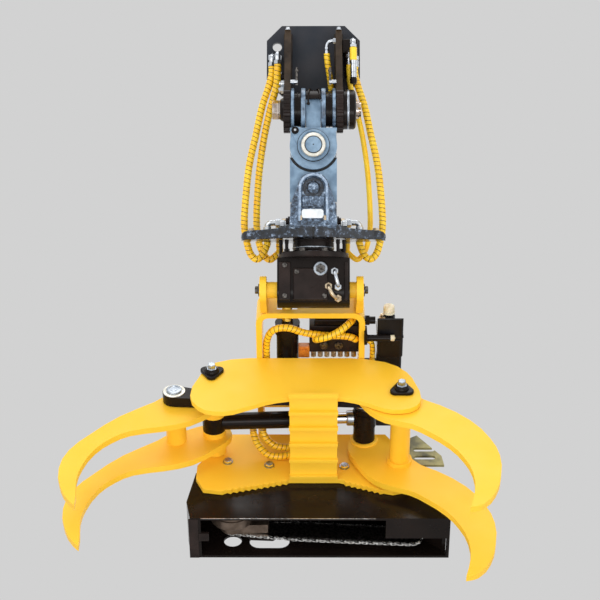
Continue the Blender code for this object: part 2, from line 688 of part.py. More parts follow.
def cylinder_mount(axes):
    """A cross plate between the arch's legs with a lug and pin for the tilt cylinder's lower eye."""
    back = -ARCH_FRONT + ARCH_DEPTH
    left, right = ARCH_LEFT + ARCH_THICK + GAP, ARCH_RIGHT - ARCH_THICK - GAP
    body = box(axes, (left, back - 0.010, TILT_BASE_W - 0.060), (right, back, TILT_BASE_W + 0.050))
    y = -TILT_BASE_V
    for side in (-1, 1):
        x = TILT_CYLINDER_U + side * (TILT_EYE_HALF + 0.008)
        lug = [(back - 0.002, TILT_BASE_W + 0.030), *arc((y, TILT_BASE_W), 0.022, 90, 270, 12),
               (back - 0.002, TILT_BASE_W - 0.030)]
        join(body, plate(axes, lug, x - 0.006, x + 0.006, "YZ"))
    join(body, rod(axes, (TILT_CYLINDER_U - 0.028, y, TILT_BASE_W), (TILT_CYLINDER_U + 0.028, y, TILT_BASE_W),
                   0.010, 20))
    part(body, "cylinder_mount", YELLOW)


def top_plate(axes):
    """The upper frame plate, which carries the arm pins' upper ends."""
    outline = flat([(-0.075, -0.006, True), (-0.151, -0.006, True), (-0.237, 0.016), (-0.268, 0.080), (-0.282, 0.150),
                    (-0.262, 0.196), (-0.226, 0.216), (-0.180, 0.212), (-0.110, 0.176), (-0.054, 0.160),
                    (0.006, 0.158), (0.067, 0.160), (0.120, 0.180), (0.160, 0.204), (0.197, 0.209),
                    (0.232, 0.194), (0.245, 0.160), (0.236, 0.105), (0.218, 0.055), (0.170, 0.012),
                    (0.086, -0.006, True)])
    body = plate(axes, outline, TOP_PLATE_TOP - TOP_PLATE_THICK, TOP_PLATE_TOP, "XY", smooth=True)
    for place in (LEFT_PIVOT, RIGHT_PIVOT):
        cut(body, rod(axes, at(place, RIGHT_UPPER_TOP), at(place, ARCH_TOP), ARM_PIN_RADIUS + GAP))
    part(body, "top_plate", YELLOW)


def saw_teeth(first, last, count, depth):
    """A toothed edge between two places, its teeth standing out to the left of the line."""
    line = Vector(last) - Vector(first)
    out = Vector((-line.y, line.x)).normalized() * depth
    points = []
    for step in range(count):
        root = Vector(first) + line * step / count
        peak = Vector(first) + line * (step + 0.5) / count + out
        points += [tuple(root), tuple(peak)]
    points.append(tuple(last))
    return points


def bottom_plate(axes):
    """The lower frame plate, with a toothed front edge on both sides of the column."""
    outline = [(-0.200, -0.006), (-0.276, 0.120), (-0.276, 0.169), (-0.257, 0.211), (-0.212, 0.219),
               *saw_teeth((-0.201, 0.212), (-0.058, 0.174), 10, 0.006), (0.060, 0.174),
               *saw_teeth((0.071, 0.178), (0.163, 0.214), 7, 0.006), (0.184, 0.220), (0.215, 0.211),
               (0.240, 0.165), (0.236, 0.105), (0.175, -0.006)]
    body = plate(axes, flat(outline), BOTTOM_PLATE_TOP - BOTTOM_PLATE_THICK, BOTTOM_PLATE_TOP)
    for place in (LEFT_PIVOT, RIGHT_PIVOT):
        cut(body, rod(axes, at(place, BOX_LOW), at(place, RIGHT_LOWER_TOP), ARM_PIN_RADIUS + GAP))
    for place in ((-0.204, 0.107), (-0.105, 0.121), (0.073, 0.126), (0.150, 0.160)):
        join(body, rod(axes, at(place, BOTTOM_PLATE_TOP - 0.002), at(place, BOTTOM_PLATE_TOP + BOLT_HEAD_HEIGHT), 0.010, 6))
    fitting = at(GRIP_FITTING, BOTTOM_PLATE_TOP)
    join(body, box(axes, fitting - Vector((0.008, 0.006, 0.002)), fitting + Vector((0.014, 0.006, 0.020))),
         rod(axes, fitting + Vector((-0.010, 0, 0.020)), fitting + Vector((0.014, 0, 0.020)), 0.010, 6))
    part(body, "bottom_plate", YELLOW)


def anvil_column(axes):
    """The ribbed post between the frame plates that the trunk is pressed against."""
    top, low = TOP_PLATE_TOP - TOP_PLATE_THICK - GAP, BOTTOM_PLATE_TOP + GAP
    ribs = []
    level = low + RIB_PITCH / 2
    while level < top - 0.012:
        ribs += [(COLUMN_FRONT - 0.010, level - 0.010), (COLUMN_FRONT, level - 0.004),
                 (COLUMN_FRONT, level + 0.004), (COLUMN_FRONT - 0.010, level + 0.006)]
        level += RIB_PITCH
    profile = [(COLUMN_BACK, low), (COLUMN_FRONT - 0.010, low), *ribs, (COLUMN_FRONT - 0.010, top),
               (COLUMN_FRONT - 0.032, top), (COLUMN_FRONT - 0.032, LINK_TOP - LINK_THICK - 0.006),
               (COLUMN_BACK, LINK_TOP - LINK_THICK - 0.006)]
    outline = [(-v, w) for v, w in profile]
    part(plate(axes, outline, -COLUMN_HALF, COLUMN_HALF, "YZ"), "anvil_column", YELLOW)


def arm_pin(axes, place, name):
    """A frame pin through both frame plates and one arm."""
    top, low = TOP_PLATE_TOP + 0.002, BOTTOM_PLATE_TOP - BOTTOM_PLATE_THICK + 0.001
    body = rod(axes, at(place, low), at(place, top), ARM_PIN_RADIUS)
    part(body, name, STEEL)


def retainer(axes, place, points_to_front, name):
    """A rounded three-cornered plate over the pin's end, with its bolt head."""
    low = TOP_PLATE_TOP + GAP
    turn = 90 if points_to_front else 270
    corners = []
    for step in range(3):
        angle = turn + 120 * step
        middle = (place[0] + 0.022 * cos(radians(angle)), place[1] + 0.022 * sin(radians(angle)))
        corners += arc(middle, 0.014, angle - 60, angle + 60, 6)
    body = plate(axes, flat(corners), low, low + 0.009)
    cut(body, rod(axes, at(place, low - 0.01), at(place, low + 0.003), ARM_PIN_RADIUS + GAP))
    join(body, rod(axes, at(place, low + 0.008), at(place, low + 0.017), 0.012, 6))
    part(body, name, BLACK)


RIGHT_OUTER = [(0.251, 0.146), (0.288, 0.170), (0.351, 0.229), (0.389, 0.298), (0.404, 0.360), (0.399, 0.432),
               (0.382, 0.490), (0.353, 0.530)]
RIGHT_INNER = [(0.339, 0.483), (0.340, 0.421), (0.325, 0.368), (0.299, 0.320), (0.258, 0.275), (0.220, 0.244),
               (0.161, 0.221), (0.128, 0.190), (0.106, 0.150), (0.090, 0.115), (0.082, 0.085)]
LEFT_OUTER = [(-0.371, 0.092), (-0.446, 0.151), (-0.506, 0.222), (-0.546, 0.283), (-0.559, 0.349),
              (-0.546, 0.417), (-0.523, 0.462)]
LEFT_INNER = [(-0.509, 0.445), (-0.515, 0.392), (-0.509, 0.338), (-0.488, 0.279), (-0.455, 0.237),
              (-0.417, 0.210), (-0.350, 0.194), (-0.283, 0.171), (-0.229, 0.122), (-0.197, 0.080)]


def right_arm(axes):
    """The right arm: two like plates on a pivot tube, with a lever behind the pivot for the cylinder."""
    lever = [(0.086, 0.052), (0.094, 0.028), (0.118, 0.017), (0.145, 0.026), (0.185, 0.072), (0.222, 0.108)]
    outline = flat(RIGHT_OUTER + [(0.338, 0.537, True), (0.325, 0.540, True)] + RIGHT_INNER + lever)
    body = plate(axes, outline, RIGHT_UPPER_TOP - ARM_PLATE_THICK, RIGHT_UPPER_TOP, "XY", smooth=True)
    lower = plate(axes, outline, RIGHT_LOWER_TOP - ARM_PLATE_THICK, RIGHT_LOWER_TOP, "XY", smooth=True)
    inner_top, inner_low = RIGHT_UPPER_TOP - ARM_PLATE_THICK, RIGHT_LOWER_TOP
    join(body, lower,
         rod(axes, at(RIGHT_PIVOT, inner_low - 0.002), at(RIGHT_PIVOT, inner_top + 0.002), ARM_TUBE_RADIUS),
         rod(axes, at(RIGHT_PIVOT, inner_low - 0.002), at(RIGHT_PIVOT, inner_low + 0.010), ARM_TUBE_RADIUS + 0.006))
    cut(body, rod(axes, at(RIGHT_PIVOT, BOX_LOW), at(RIGHT_PIVOT, ARCH_TOP), ARM_PIN_RADIUS + GAP),
        rod(axes, at(ROD_PIN, BOX_LOW), at(ROD_PIN, GRIP_AXIS_W), ROD_PIN_RADIUS + GAP),
        rod(axes, at(LINK_FAR_PIN, LEFT_UPPER_TOP), at(LINK_FAR_PIN, ARCH_TOP), LINK_FAR_RADIUS + GAP))
    part(body, "right_arm", YELLOW)


def rod_pin(axes):
    """The pin for the grip cylinder's rod: a spacer on the lower plate, and a capped upper end."""
    eye_low = GRIP_AXIS_W - GRIP_EYE_HALF - 0.001
    eye_top = GRIP_AXIS_W + GRIP_EYE_HALF + 0.001
    body = rod(axes, at(ROD_PIN, RIGHT_LOWER_TOP - ARM_PLATE_THICK + 0.001), at(ROD_PIN, eye_top + 0.001),
               ROD_PIN_RADIUS)
    join(body, rod(axes, at(ROD_PIN, RIGHT_LOWER_TOP + GAP), at(ROD_PIN, eye_low), 0.026),
         rod(axes, at(ROD_PIN, eye_top), at(ROD_PIN, eye_top + 0.012), 0.025))
    part(body, "rod_pin", BLACK)


def link_far_pin(axes):
    """The bolt at the tie link's right end, under the right arm's upper plate."""
    low = LINK_TOP - LINK_THICK
    body = rod(axes, at(LINK_FAR_PIN, low - 0.003), at(LINK_FAR_PIN, RIGHT_UPPER_TOP - 0.0005), LINK_FAR_RADIUS)
    join(body, rod(axes, at(LINK_FAR_PIN, low - 0.009), at(LINK_FAR_PIN, low - 0.001), 0.021))
    part(body, "link_far_pin", STEEL)


def left_arm(axes):
    """The left arm: two plates between the right arm's plates, with hub rings and a post under the link pin."""
    outline = flat(LEFT_OUTER + [(-0.508, 0.479, True)] + LEFT_INNER
                   + [(-0.200, 0.045), (-0.222, 0.028), (-0.255, 0.026), (-0.305, 0.050), (-0.340, 0.062)])
    body = plate(axes, outline, LEFT_UPPER_TOP - ARM_PLATE_THICK, LEFT_UPPER_TOP, "XY", smooth=True)
    lower = plate(axes, outline, LEFT_LOWER_TOP - ARM_PLATE_THICK, LEFT_LOWER_TOP, "XY", smooth=True)
    inner_top, inner_low = LEFT_UPPER_TOP - ARM_PLATE_THICK, LEFT_LOWER_TOP
    eye_low, eye_top = GRIP_AXIS_W - GRIP_EYE_HALF, GRIP_AXIS_W + GRIP_EYE_HALF
    hub = ARM_PIN_RADIUS + 0.010
    join(body, lower,
         rod(axes, at(LINK_PIN, inner_low - 0.002), at(LINK_PIN, inner_top + 0.002), 0.024),
         rod(axes, at(LEFT_PIVOT, eye_top + 0.001), at(LEFT_PIVOT, inner_top + 0.002), hub),
         rod(axes, at(LEFT_PIVOT, inner_low - 0.002), at(LEFT_PIVOT, eye_low - 0.001), hub),
         rod(axes, at(LEFT_PIVOT, BOTTOM_PLATE_TOP + 0.001),
             at(LEFT_PIVOT, inner_low - ARM_PLATE_THICK + 0.002), hub))
    cut(body, rod(axes, at(LEFT_PIVOT, BOX_LOW), at(LEFT_PIVOT, ARCH_TOP), ARM_PIN_RADIUS + GAP),
        rod(axes, at(LINK_PIN, BOX_LOW), at(LINK_PIN, ARCH_TOP), LINK_PIN_RADIUS + GAP))
    part(body, "left_arm", YELLOW)


def link_pin(axes):
    """The pin that joins the tie link to the left arm."""
    low = LEFT_LOWER_TOP - ARM_PLATE_THICK
    body = rod(axes, at(LINK_PIN, low - 0.004), at(LINK_PIN, LINK_TOP + 0.012), LINK_PIN_RADIUS)
    join(body, rod(axes, at(LINK_PIN, LINK_TOP + GAP), at(LINK_PIN, LINK_TOP + 0.006), 0.019),
         rod(axes, at(LINK_PIN, low - 0.008), at(LINK_PIN, low - GAP), 0.019))
    part(body, "link_pin", STEEL)


def tie_link(axes):
    """The bar that makes both arms close together, bowed past the left arm's frame pin."""
    low = LINK_TOP - LINK_THICK
    start, end = Vector(LINK_PIN), Vector(LINK_FAR_PIN)
    far_eye = LINK_FAR_RADIUS + LINK_PLAY + 0.012
    back = LEFT_PIVOT[1] + ARM_PIN_RADIUS + 0.004
    outline = [*arc(start, LINK_EYE_RADIUS, 100, 315, 16), (LEFT_PIVOT[0] - 0.020, back),
               (LEFT_PIVOT[0] + 0.030, back), (-0.080, end.y - LINK_HALF),
               *arc(end, far_eye, -110, 110, 16), (-0.080, end.y + LINK_HALF),
               (LEFT_PIVOT[0] + 0.020, back + 2 * LINK_HALF), (LEFT_PIVOT[0] - 0.030, back + 2 * LINK_HALF)]
    body = plate(axes, flat(outline), low, LINK_TOP)
    cut(body, rod(axes, at(start, -0.3), at(start, -0.1), LINK_PIN_RADIUS + GAP),
        rod(axes, at(end, -0.3), at(end, -0.1), LINK_FAR_RADIUS + LINK_PLAY))
    part(body, "tie_link", BLACK)


def cylinder_line(first, second):
    """The unit direction and length from one point to another."""
    line = second - first
    return line.normalized(), line.length


def grip_barrel(axes):
    """The grip cylinder's tube, with its eye on the left arm's frame pin and a collar at the rod end."""
    eye = at(LEFT_PIVOT, GRIP_AXIS_W)
    way, _ = cylinder_line(eye, at(ROD_PIN, GRIP_AXIS_W))
    half = GRIP_EYE_HALF
    body = rod(axes, eye + way * 0.018, eye + way * GRIP_BARREL_LENGTH, GRIP_BARREL_RADIUS)
    join(body, rod(axes, at(LEFT_PIVOT, GRIP_AXIS_W - half), at(LEFT_PIVOT, GRIP_AXIS_W + half), GRIP_EYE_RADIUS),
         rod(axes, eye + way * (GRIP_BARREL_LENGTH - 0.030), eye + way * (GRIP_BARREL_LENGTH + 0.002),
             GRIP_BARREL_RADIUS + 0.004),
         rod(axes, grip_port() + Vector((0, 0, -0.010)), grip_port() + Vector((0, 0, -GRIP_PORT_DROP)),
             0.010, 6))
    cut(body, rod(axes, at(LEFT_PIVOT, BOX_LOW), at(LEFT_PIVOT, ARCH_TOP), ARM_PIN_RADIUS + GAP),
        rod(axes, eye + way * 0.060, eye + way * (GRIP_BARREL_LENGTH + 0.02), GRIP_ROD_RADIUS + GAP))
    part(body, "grip_barrel", BLACK)


def grip_rod(axes):
    """The chromed rod with its eye; the eye's bore leaves play where the arms' loop is opened."""
    eye = at(LEFT_PIVOT, GRIP_AXIS_W)
    end = at(ROD_PIN, GRIP_AXIS_W)
    way, length = cylinder_line(eye, end)
    half = GRIP_EYE_HALF
    body = rod(axes, eye + way * 0.110, end - way * 0.024, GRIP_ROD_RADIUS)
    join(body, rod(axes, at(ROD_PIN, GRIP_AXIS_W - half), at(ROD_PIN, GRIP_AXIS_W + half), GRIP_EYE_RADIUS),
         rod(axes, end - way * 0.040, end - way * 0.020, GRIP_ROD_RADIUS + 0.005))
    cut(body, rod(axes, at(ROD_PIN, BOX_LOW), at(ROD_PIN, ARCH_TOP), ROD_PIN_RADIUS + ROD_PLAY))
    part(body, "grip_rod", STEEL)


def tilt_ends():
    base = Vector((TILT_CYLINDER_U, -TILT_BASE_V, TILT_BASE_W))
    eye = Vector((TILT_CYLINDER_U, -TILT_LUG_V, TILT_LUG_W))
    return base, eye


def tilt_barrel(axes):
    base, eye = tilt_ends()
    way, _ = cylinder_line(base, eye)
    across = Vector((TILT_EYE_HALF, 0, 0))
    body = rod(axes, base + way * 0.036, base + way * TILT_BARREL_LENGTH, TILT_BARREL_RADIUS)
    join(body, rod(axes, base - across, base + across, 0.020),
         rod(axes, base + way * 0.008, base + way * 0.040, TILT_EYE_HALF - 0.0005),
         rod(axes, base + way * (TILT_BARREL_LENGTH - 0.025), base + way * (TILT_BARREL_LENGTH + 0.003),
             TILT_BARREL_RADIUS + 0.003))
    cut(body, rod(axes, base - 3 * across, base + 3 * across, 0.010 + GAP),
        rod(axes, base + way * 0.070, base + way * (TILT_BARREL_LENGTH + 0.02), TILT_ROD_RADIUS + GAP))
    part(body, "tilt_barrel", BLACK)


def tilt_rod(axes):
    """The tilt cylinder's rod; the eye's bore leaves play where the tilt loop is opened."""
    base, eye = tilt_ends()
    way, length = cylinder_line(base, eye)
    across = Vector((TILT_EYE_HALF, 0, 0))
    body = rod(axes, base + way * 0.110, eye - way * (TILT_EYE_RADIUS - 0.004), TILT_ROD_RADIUS)
    join(body, rod(axes, eye - across, eye + across, TILT_EYE_RADIUS))
    cut(body, rod(axes, eye - 3 * across, eye + 3 * across, TILT_LUG_PIN + TILT_PLAY))
    part(body, "tilt_rod", STEEL)


def oil_tank(axes):
    """The bar oil tank: a stepped box on the arch's right leg, set back below where the lever swings."""
    step = TOP_PLATE_TOP
    front = -ARCH_FRONT
    body = box(axes, (TANK_LEFT, front, step), (TANK_RIGHT, front + 0.070, TANK_TOP))
    join(body, box(axes, (TANK_LEFT, front + 0.032, BOTTOM_PLATE_TOP), (TANK_RIGHT, front + 0.090, step + 0.001)),
         box(axes, (ARCH_RIGHT + GAP, front + 0.036, step - 0.110),
             (TANK_LEFT + 0.001, front + 0.064, TANK_TOP - 0.040)))
    neck = (TANK_LEFT + 0.026, -(front + 0.024))
    join(body, rod(axes, at(neck, TANK_TOP - 0.001), at(neck, TANK_TOP + 0.006), 0.012))
    part(body, "oil_tank", BLACK)


def filler_cap(axes):
    """The tank's screw cap, over its neck."""
    place = (TANK_LEFT + 0.026, -(-ARCH_FRONT + 0.024))
    seat = TANK_TOP + GAP
    profile = [(0, seat + CAP_HEIGHT), (CAP_RADIUS - 0.002, seat + CAP_HEIGHT), (CAP_RADIUS, seat + CAP_HEIGHT - 0.003),
               (CAP_RADIUS, seat), (0.012 + GAP, seat), (0.012 + GAP, seat + 0.007), (0, seat + 0.007)]
    part(turned(axes, profile, at(place, 0), (0, 0, 1)), "filler_cap", CREAM)


def valve_block(axes):
    """The valve block inside the arch, against its right leg, with hose ports on top."""
    right = ARCH_RIGHT - ARCH_THICK - GAP
    top = ARCH_TOP - VALVE_DROP
    body = box(axes, (-0.010, 0.032, top - VALVE_HEIGHT), (right, 0.082, top))
    for step in range(4):
        x = 0.006 + VALVE_PORT_PITCH * step
        join(body, rod(axes, (x, 0.050, top - 0.001), (x, 0.050, top + 0.016), 0.0095, 6))
    part(body, "valve_block", STEEL)


def solenoid_valve(axes):
    """The electric valve's coil, standing out from the arch's right leg in front of the tank."""
    x = ARCH_RIGHT + GAP
    y = -ARCH_FRONT + 0.012
    w = ARCH_TOP - 0.028
    body = rod(axes, (x, y + 0.004, w), (x + 0.010, y + 0.004, w), 0.013, 6)
    join(body, rod(axes, (x + 0.008, y + 0.004, w), (x + 0.024, y + 0.004, w), 0.009, 20))
    part(body, "solenoid_valve", BLACK)


def slotted_guard(axes):
    """The slotted plate under the frame at its right rear."""
    top = BOTTOM_PLATE_TOP - BOTTOM_PLATE_THICK - GAP
    outline = [(0.176, 0.030), (0.253, -0.019), (0.308, 0.065), (0.312, 0.102), (0.176, 0.100)]
    body = plate(axes, flat(outline), top - 0.006, top)
    for v in (0.040, 0.072):
        left, right = (0.248, v), (0.286, v)
        slot = [*arc(left, 0.007, 90, 270, 6), *arc(right, 0.007, -90, 90, 6)]
        cut(body, plate(axes, flat(slot), top - 0.02, top + 0.01))
    part(body, "slotted_guard", ZINC)


def saw_box(axes):
    """The folded guard box round the saw: open in front, with a panel over the bar's nose and holes below."""
    low, wall = BOX_LOW, BOX_WALL
    left, right, back = BOX_LEFT, BOX_RIGHT, BOX_BACK
    outer = [(left + 0.003, back), (left - 0.012, back + 0.110), (left, BOX_FRONT), (right, BOX_FRONT),
             (right + 0.001, back + 0.157), (right - 0.098, back + 0.061), (right - 0.162, back)]
    inner = [(left + 0.003 + wall, back + wall), (left - 0.012 + wall, back + 0.110),
             (left + wall, BOX_FRONT - wall), (right - wall, BOX_FRONT - wall),
             (right + 0.001 - wall, back + 0.1595), (right - 0.100, back + 0.0695), (right - 0.1645, back + wall)]
    panel = right - PANEL_WIDTH
    body = plate(axes, flat(outer), low, BOX_TOP)
    cut(body, plate(axes, flat(inner), low + wall, BOX_TOP - wall),
        box(axes, (left + BOX_MOUTH_INSET, -BOX_FRONT - 0.02, low + wall),
            (panel, -BOX_FRONT + 0.02, BOX_TOP - wall)),
        box(axes, (panel - 0.005, -BOX_FRONT - 0.02, low + wall),
            (right - wall, -BOX_FRONT + 0.02, BOX_TOP - PANEL_DROP)),
        rod(axes, at((SAW_PIVOT[0], SAW_PIVOT[1] + 0.005), low - 0.02),
            at((SAW_PIVOT[0], SAW_PIVOT[1] + 0.005), low + wall + 0.001), 0.021))
    slot = [*arc((-0.126, 0.252), 0.024, 90, 270, 10), *arc((-0.080, 0.252), 0.024, -90, 90, 10)]
    cut(body, plate(axes, flat(slot), low - 0.02, low + wall + 0.001))
    part(body, "saw_box", BLACK)


def saw_motor(axes):
    """The drum of the saw's motor and bar swing drive, bolted under the box's top."""
    top = BOX_TOP - BOX_WALL - GAP
    profile = [(0, top), (MOTOR_RADIUS, top), (MOTOR_RADIUS, top - MOTOR_LENGTH + 0.006),
               (MOTOR_RADIUS - 0.006, top - MOTOR_LENGTH), (0, top - MOTOR_LENGTH)]
    part(turned(axes, profile, at(SAW_PIVOT, 0), (0, 0, 1)), "saw_motor", MOTOR_GREY)


def along_bar(points):
    """Places given along and across the bar, turned to the bar's rest angle about the saw pivot."""
    turned_points = []
    for s, t in points:
        u = SAW_PIVOT[0] + s * cos(BAR_ANGLE) - t * sin(BAR_ANGLE)
        v = SAW_PIVOT[1] + s * sin(BAR_ANGLE) + t * cos(BAR_ANGLE)
        turned_points.append((u, v))
    return turned_points


def bar_edge(grow):
    """The bar's outline with a round root at the sprocket, grown outwards by grow."""
    root, half = BAR_ROOT_HALF + grow, BAR_HALF + grow
    return [*arc((0, 0), root, 95, 265, 12), (0.120, -half), *arc((BAR_NOSE, 0), half, -90, 90, 16), (0.120, half)]


def guide_bar(axes):
    low, high = BAR_LEVEL - BAR_THICK / 2, BAR_LEVEL + BAR_THICK / 2
    start = SPROCKET_RADIUS + 0.008
    outline = [(start, -BAR_ROOT_HALF), (0.120, -BAR_HALF), *arc((BAR_NOSE, 0), BAR_HALF, -90, 90, 16),
               (0.120, BAR_HALF), (start, BAR_ROOT_HALF)]
    body = plate(axes, flat(along_bar(outline)), low, high)
    part(body, "guide_bar", STEEL)


def saw_chain(axes):
    """The chain as a toothed band round the bar and the sprocket."""
    low, high = BAR_LEVEL - CHAIN_THICK / 2, BAR_LEVEL + CHAIN_THICK / 2
    base = bar_edge(CHAIN_DEPTH - 0.0025)
    toothed = []
    for first, second in zip(base, base[1:] + base[:1]):
        run = hypot(second[0] - first[0], second[1] - first[1])
        steps = max(1, int(run / CHAIN_PITCH))
        out = (second[1] - first[1]) / run, -(second[0] - first[0]) / run
        for step in range(steps):
            share = step / steps
            x, y = (first[i] + (second[i] - first[i]) * share for i in (0, 1))
            toothed.append((x, y))
            if steps > 1:
                x, y = (first[i] + (second[i] - first[i]) * (share + 0.6 / steps) for i in (0, 1))
                toothed.append((x + out[0] * 0.0025, y + out[1] * 0.0025))
    body = plate(axes, flat(along_bar(toothed)), low, high)
    cut(body, plate(axes, flat(along_bar(bar_edge(GAP))), low - 0.01, high + 0.01))
    part(body, "saw_chain", STEEL)


def bar_holder(axes):
    """The arm that clamps the bar and swings it round the motor's axis."""
    top = BOX_TOP - BOX_WALL - MOTOR_LENGTH - 2 * GAP
    low = BAR_LEVEL + CHAIN_THICK / 2 + GAP
    outline = [*arc((0, 0), 0.030, 60, 300, 16), (0.085, -0.018), (0.085, 0.018)]
    body = plate(axes, flat(along_bar(outline)), low, top)
    pad = along_bar([(0.030, -0.012), (0.080, -0.012), (0.080, 0.012), (0.030, 0.012)])
    join(body, plate(axes, flat(pad), BAR_LEVEL + BAR_THICK / 2 + GAP, low + 0.001))
    cut(body, rod(axes, at(SAW_PIVOT, BOX_LOW), at(SAW_PIVOT, BOX_TOP), SHAFT_RADIUS + 0.001))
    part(body, "bar_holder", BLACK)


def drive_sprocket(axes):
    """The chain's sprocket and its shaft under the motor."""
    top = BOX_TOP - BOX_WALL - MOTOR_LENGTH - 2 * GAP
    half = CHAIN_THICK / 2
    rim = []
    for step in range(16):
        angle = 2 * pi * step / 16
        radius = SPROCKET_RADIUS - 0.0003 if step % 2 else SPROCKET_RADIUS - 0.003
        rim.append((SAW_PIVOT[0] + radius * cos(angle), SAW_PIVOT[1] + radius * sin(angle)))
    body = plate(axes, flat(rim), BAR_LEVEL - half, BAR_LEVEL + half - 0.0005)
    join(body, rod(axes, at(SAW_PIVOT, BAR_LEVEL - 0.012), at(SAW_PIVOT, top), SHAFT_RADIUS, 20))
    part(body, "drive_sprocket", STEEL)


def hoses():
    """The four hoses from the coupler down to the rotator, two on each side."""
    start = SLEEVE_END - GAP
    outer_y, inner_y = OUTER_PORT_BACK - AXIS_BACK, INNER_PORT_BACK - AXIS_BACK
    outer_end = OUTER_PORT_LEVEL - CROSS_DROP - GAP
    inner_end = INNER_PORT_LEVEL - CROSS_DROP - GAP
    outer = [(*OUTER_FITTING, start), (*OUTER_FITTING, start - 0.018), (0.106, -0.045, -0.070),
             (0.121, -0.048, -0.118), (0.135, -0.050, -0.183), (0.150, -0.052, -0.253), (0.158, -0.053, -0.322),
             (0.162, -0.054, -0.395), (0.156, -0.054, -0.438), (0.147, -0.053, -0.466), (0.133, -0.052, -0.478),
             (0.119, -0.051, -0.468),
             *[(OUTER_PORT_X, outer_y, outer_end - back) for back in (0.040, 0.026, 0.012, 0)]]
    inner = [(*INNER_FITTING, start), (*INNER_FITTING, start - 0.016), (0.087, -0.060, -0.070),
             (0.100, -0.050, -0.118), (0.115, -0.042, -0.183), (0.126, -0.034, -0.253), (0.132, -0.030, -0.322),
             (0.134, -0.028, -0.395), (0.128, -0.028, -0.438), (0.118, -0.029, -0.464), (0.104, -0.030, -0.477),
             (0.091, -0.031, -0.470),
             *[(INNER_PORT_X, inner_y, inner_end - back) for back in (0.036, 0.024, 0.012, 0)]]
    for side, word in ((-1, "left"), (1, "right")):
        radius = HOSE_RADIUS if side < 0 else THIN_HOSE_RADIUS
        part(tube(None, [(side * x, y, z) for x, y, z in outer], HOSE_RADIUS, HOSE_POINTS), "hose_outer_" + word, HOSE_YELLOW)
        part(tube(None, [(side * x, y, z) for x, y, z in inner], radius, HOSE_POINTS), "hose_inner_" + word, HOSE_YELLOW)


def grip_port():
    """The grip cylinder's lower port, on the barrel's underside."""
    eye = at(LEFT_PIVOT, GRIP_AXIS_W)
    way, _ = cylinder_line(eye, at(ROD_PIN, GRIP_AXIS_W))
    return eye + way * GRIP_PORT_REACH


def grip_hose(axes):
    """The hose from a fitting on the bottom plate to the grip cylinder's port."""
    port = grip_port() + Vector((0, 0, -GRIP_PORT_DROP - GAP))
    end = at(GRIP_FITTING, BOTTOM_PLATE_TOP + 0.020) + Vector((-0.010 - GAP, 0, 0))
    route = [port, port + Vector((0, 0, -0.008)), port + Vector((0, 0, -0.016)), port + Vector((0.014, 0.003, -0.031)),
             (port.x + 0.040, (port.y + end.y) / 2, end.z), (end.x - 0.015, end.y, end.z), end]
    part(tube(axes, route, THIN_HOSE_RADIUS, 18), "hose_grip", HOSE_YELLOW)


def main():
    start_scene()
    coupler_plate()
    ear(-1, "ear_left")
    ear(1, "ear_right")
    swing_pin()
    hose_bulkhead(-1, "hose_bulkhead_left")
    hose_bulkhead(1, "hose_bulkhead_right")

    swing = empty("swing_axis", None, (0, -AXIS_BACK, -SWING_DROP))
    cross_link(swing)
    brake_spool(swing, -1, "brake_spool_left")
    brake_spool(swing, 1, "brake_spool_right")
    cross_pin(swing)
    cross_pin_keeper(swing)

    cross = empty("cross_axis", swing, (0, 0, SWING_DROP - CROSS_DROP))
    lower_link(cross)
    rotator_yoke(cross)
    yoke_pin(cross)
    port_block(cross, -1, "port_block_left")
    port_block(cross, 1, "port_block_right")

    head = empty("rotate_axis", cross, (0, 0, CROSS_DROP - HEAD_DROP))
    rotor_flange(head)
    tilt_head(head)

    tilt = empty("tilt_axis", head, (0, 0, HEAD_DROP - TILT_DROP), TILT_REST)
    tilt_pin(tilt)
    cheek(tilt, CHEEK_LEFT, 1, "cheek_left")
    cheek(tilt, CHEEK_RIGHT, -1, "cheek_right")
    arch(tilt)
    cylinder_mount(tilt)
    top_plate(tilt)
    bottom_plate(tilt)
    anvil_column(tilt)
    arm_pin(tilt, LEFT_PIVOT, "arm_pin_left")
    arm_pin(tilt, RIGHT_PIVOT, "arm_pin_right")
    retainer(tilt, LEFT_PIVOT, True, "retainer_left")
    retainer(tilt, RIGHT_PIVOT, False, "retainer_right")
    oil_tank(tilt)
    filler_cap(tilt)
    valve_block(tilt)
    solenoid_valve(tilt)
    slotted_guard(tilt)
    saw_box(tilt)
    saw_motor(tilt)

    right_arm(tilt)
    rod_pin(tilt)
    link_far_pin(tilt)
    left_arm(tilt)
    link_pin(tilt)
    tie_link(tilt)
    grip_barrel(tilt)
    grip_rod(tilt)
    tilt_barrel(tilt)
    tilt_rod(tilt)
    guide_bar(tilt)
    saw_chain(tilt)
    bar_holder(tilt)
    drive_sprocket(tilt)
    hoses()
    grip_hose(tilt)


main()
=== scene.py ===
import json
import bpy
import bmesh
from math import cos, pi, radians, sin
from mathutils import Matrix, Vector

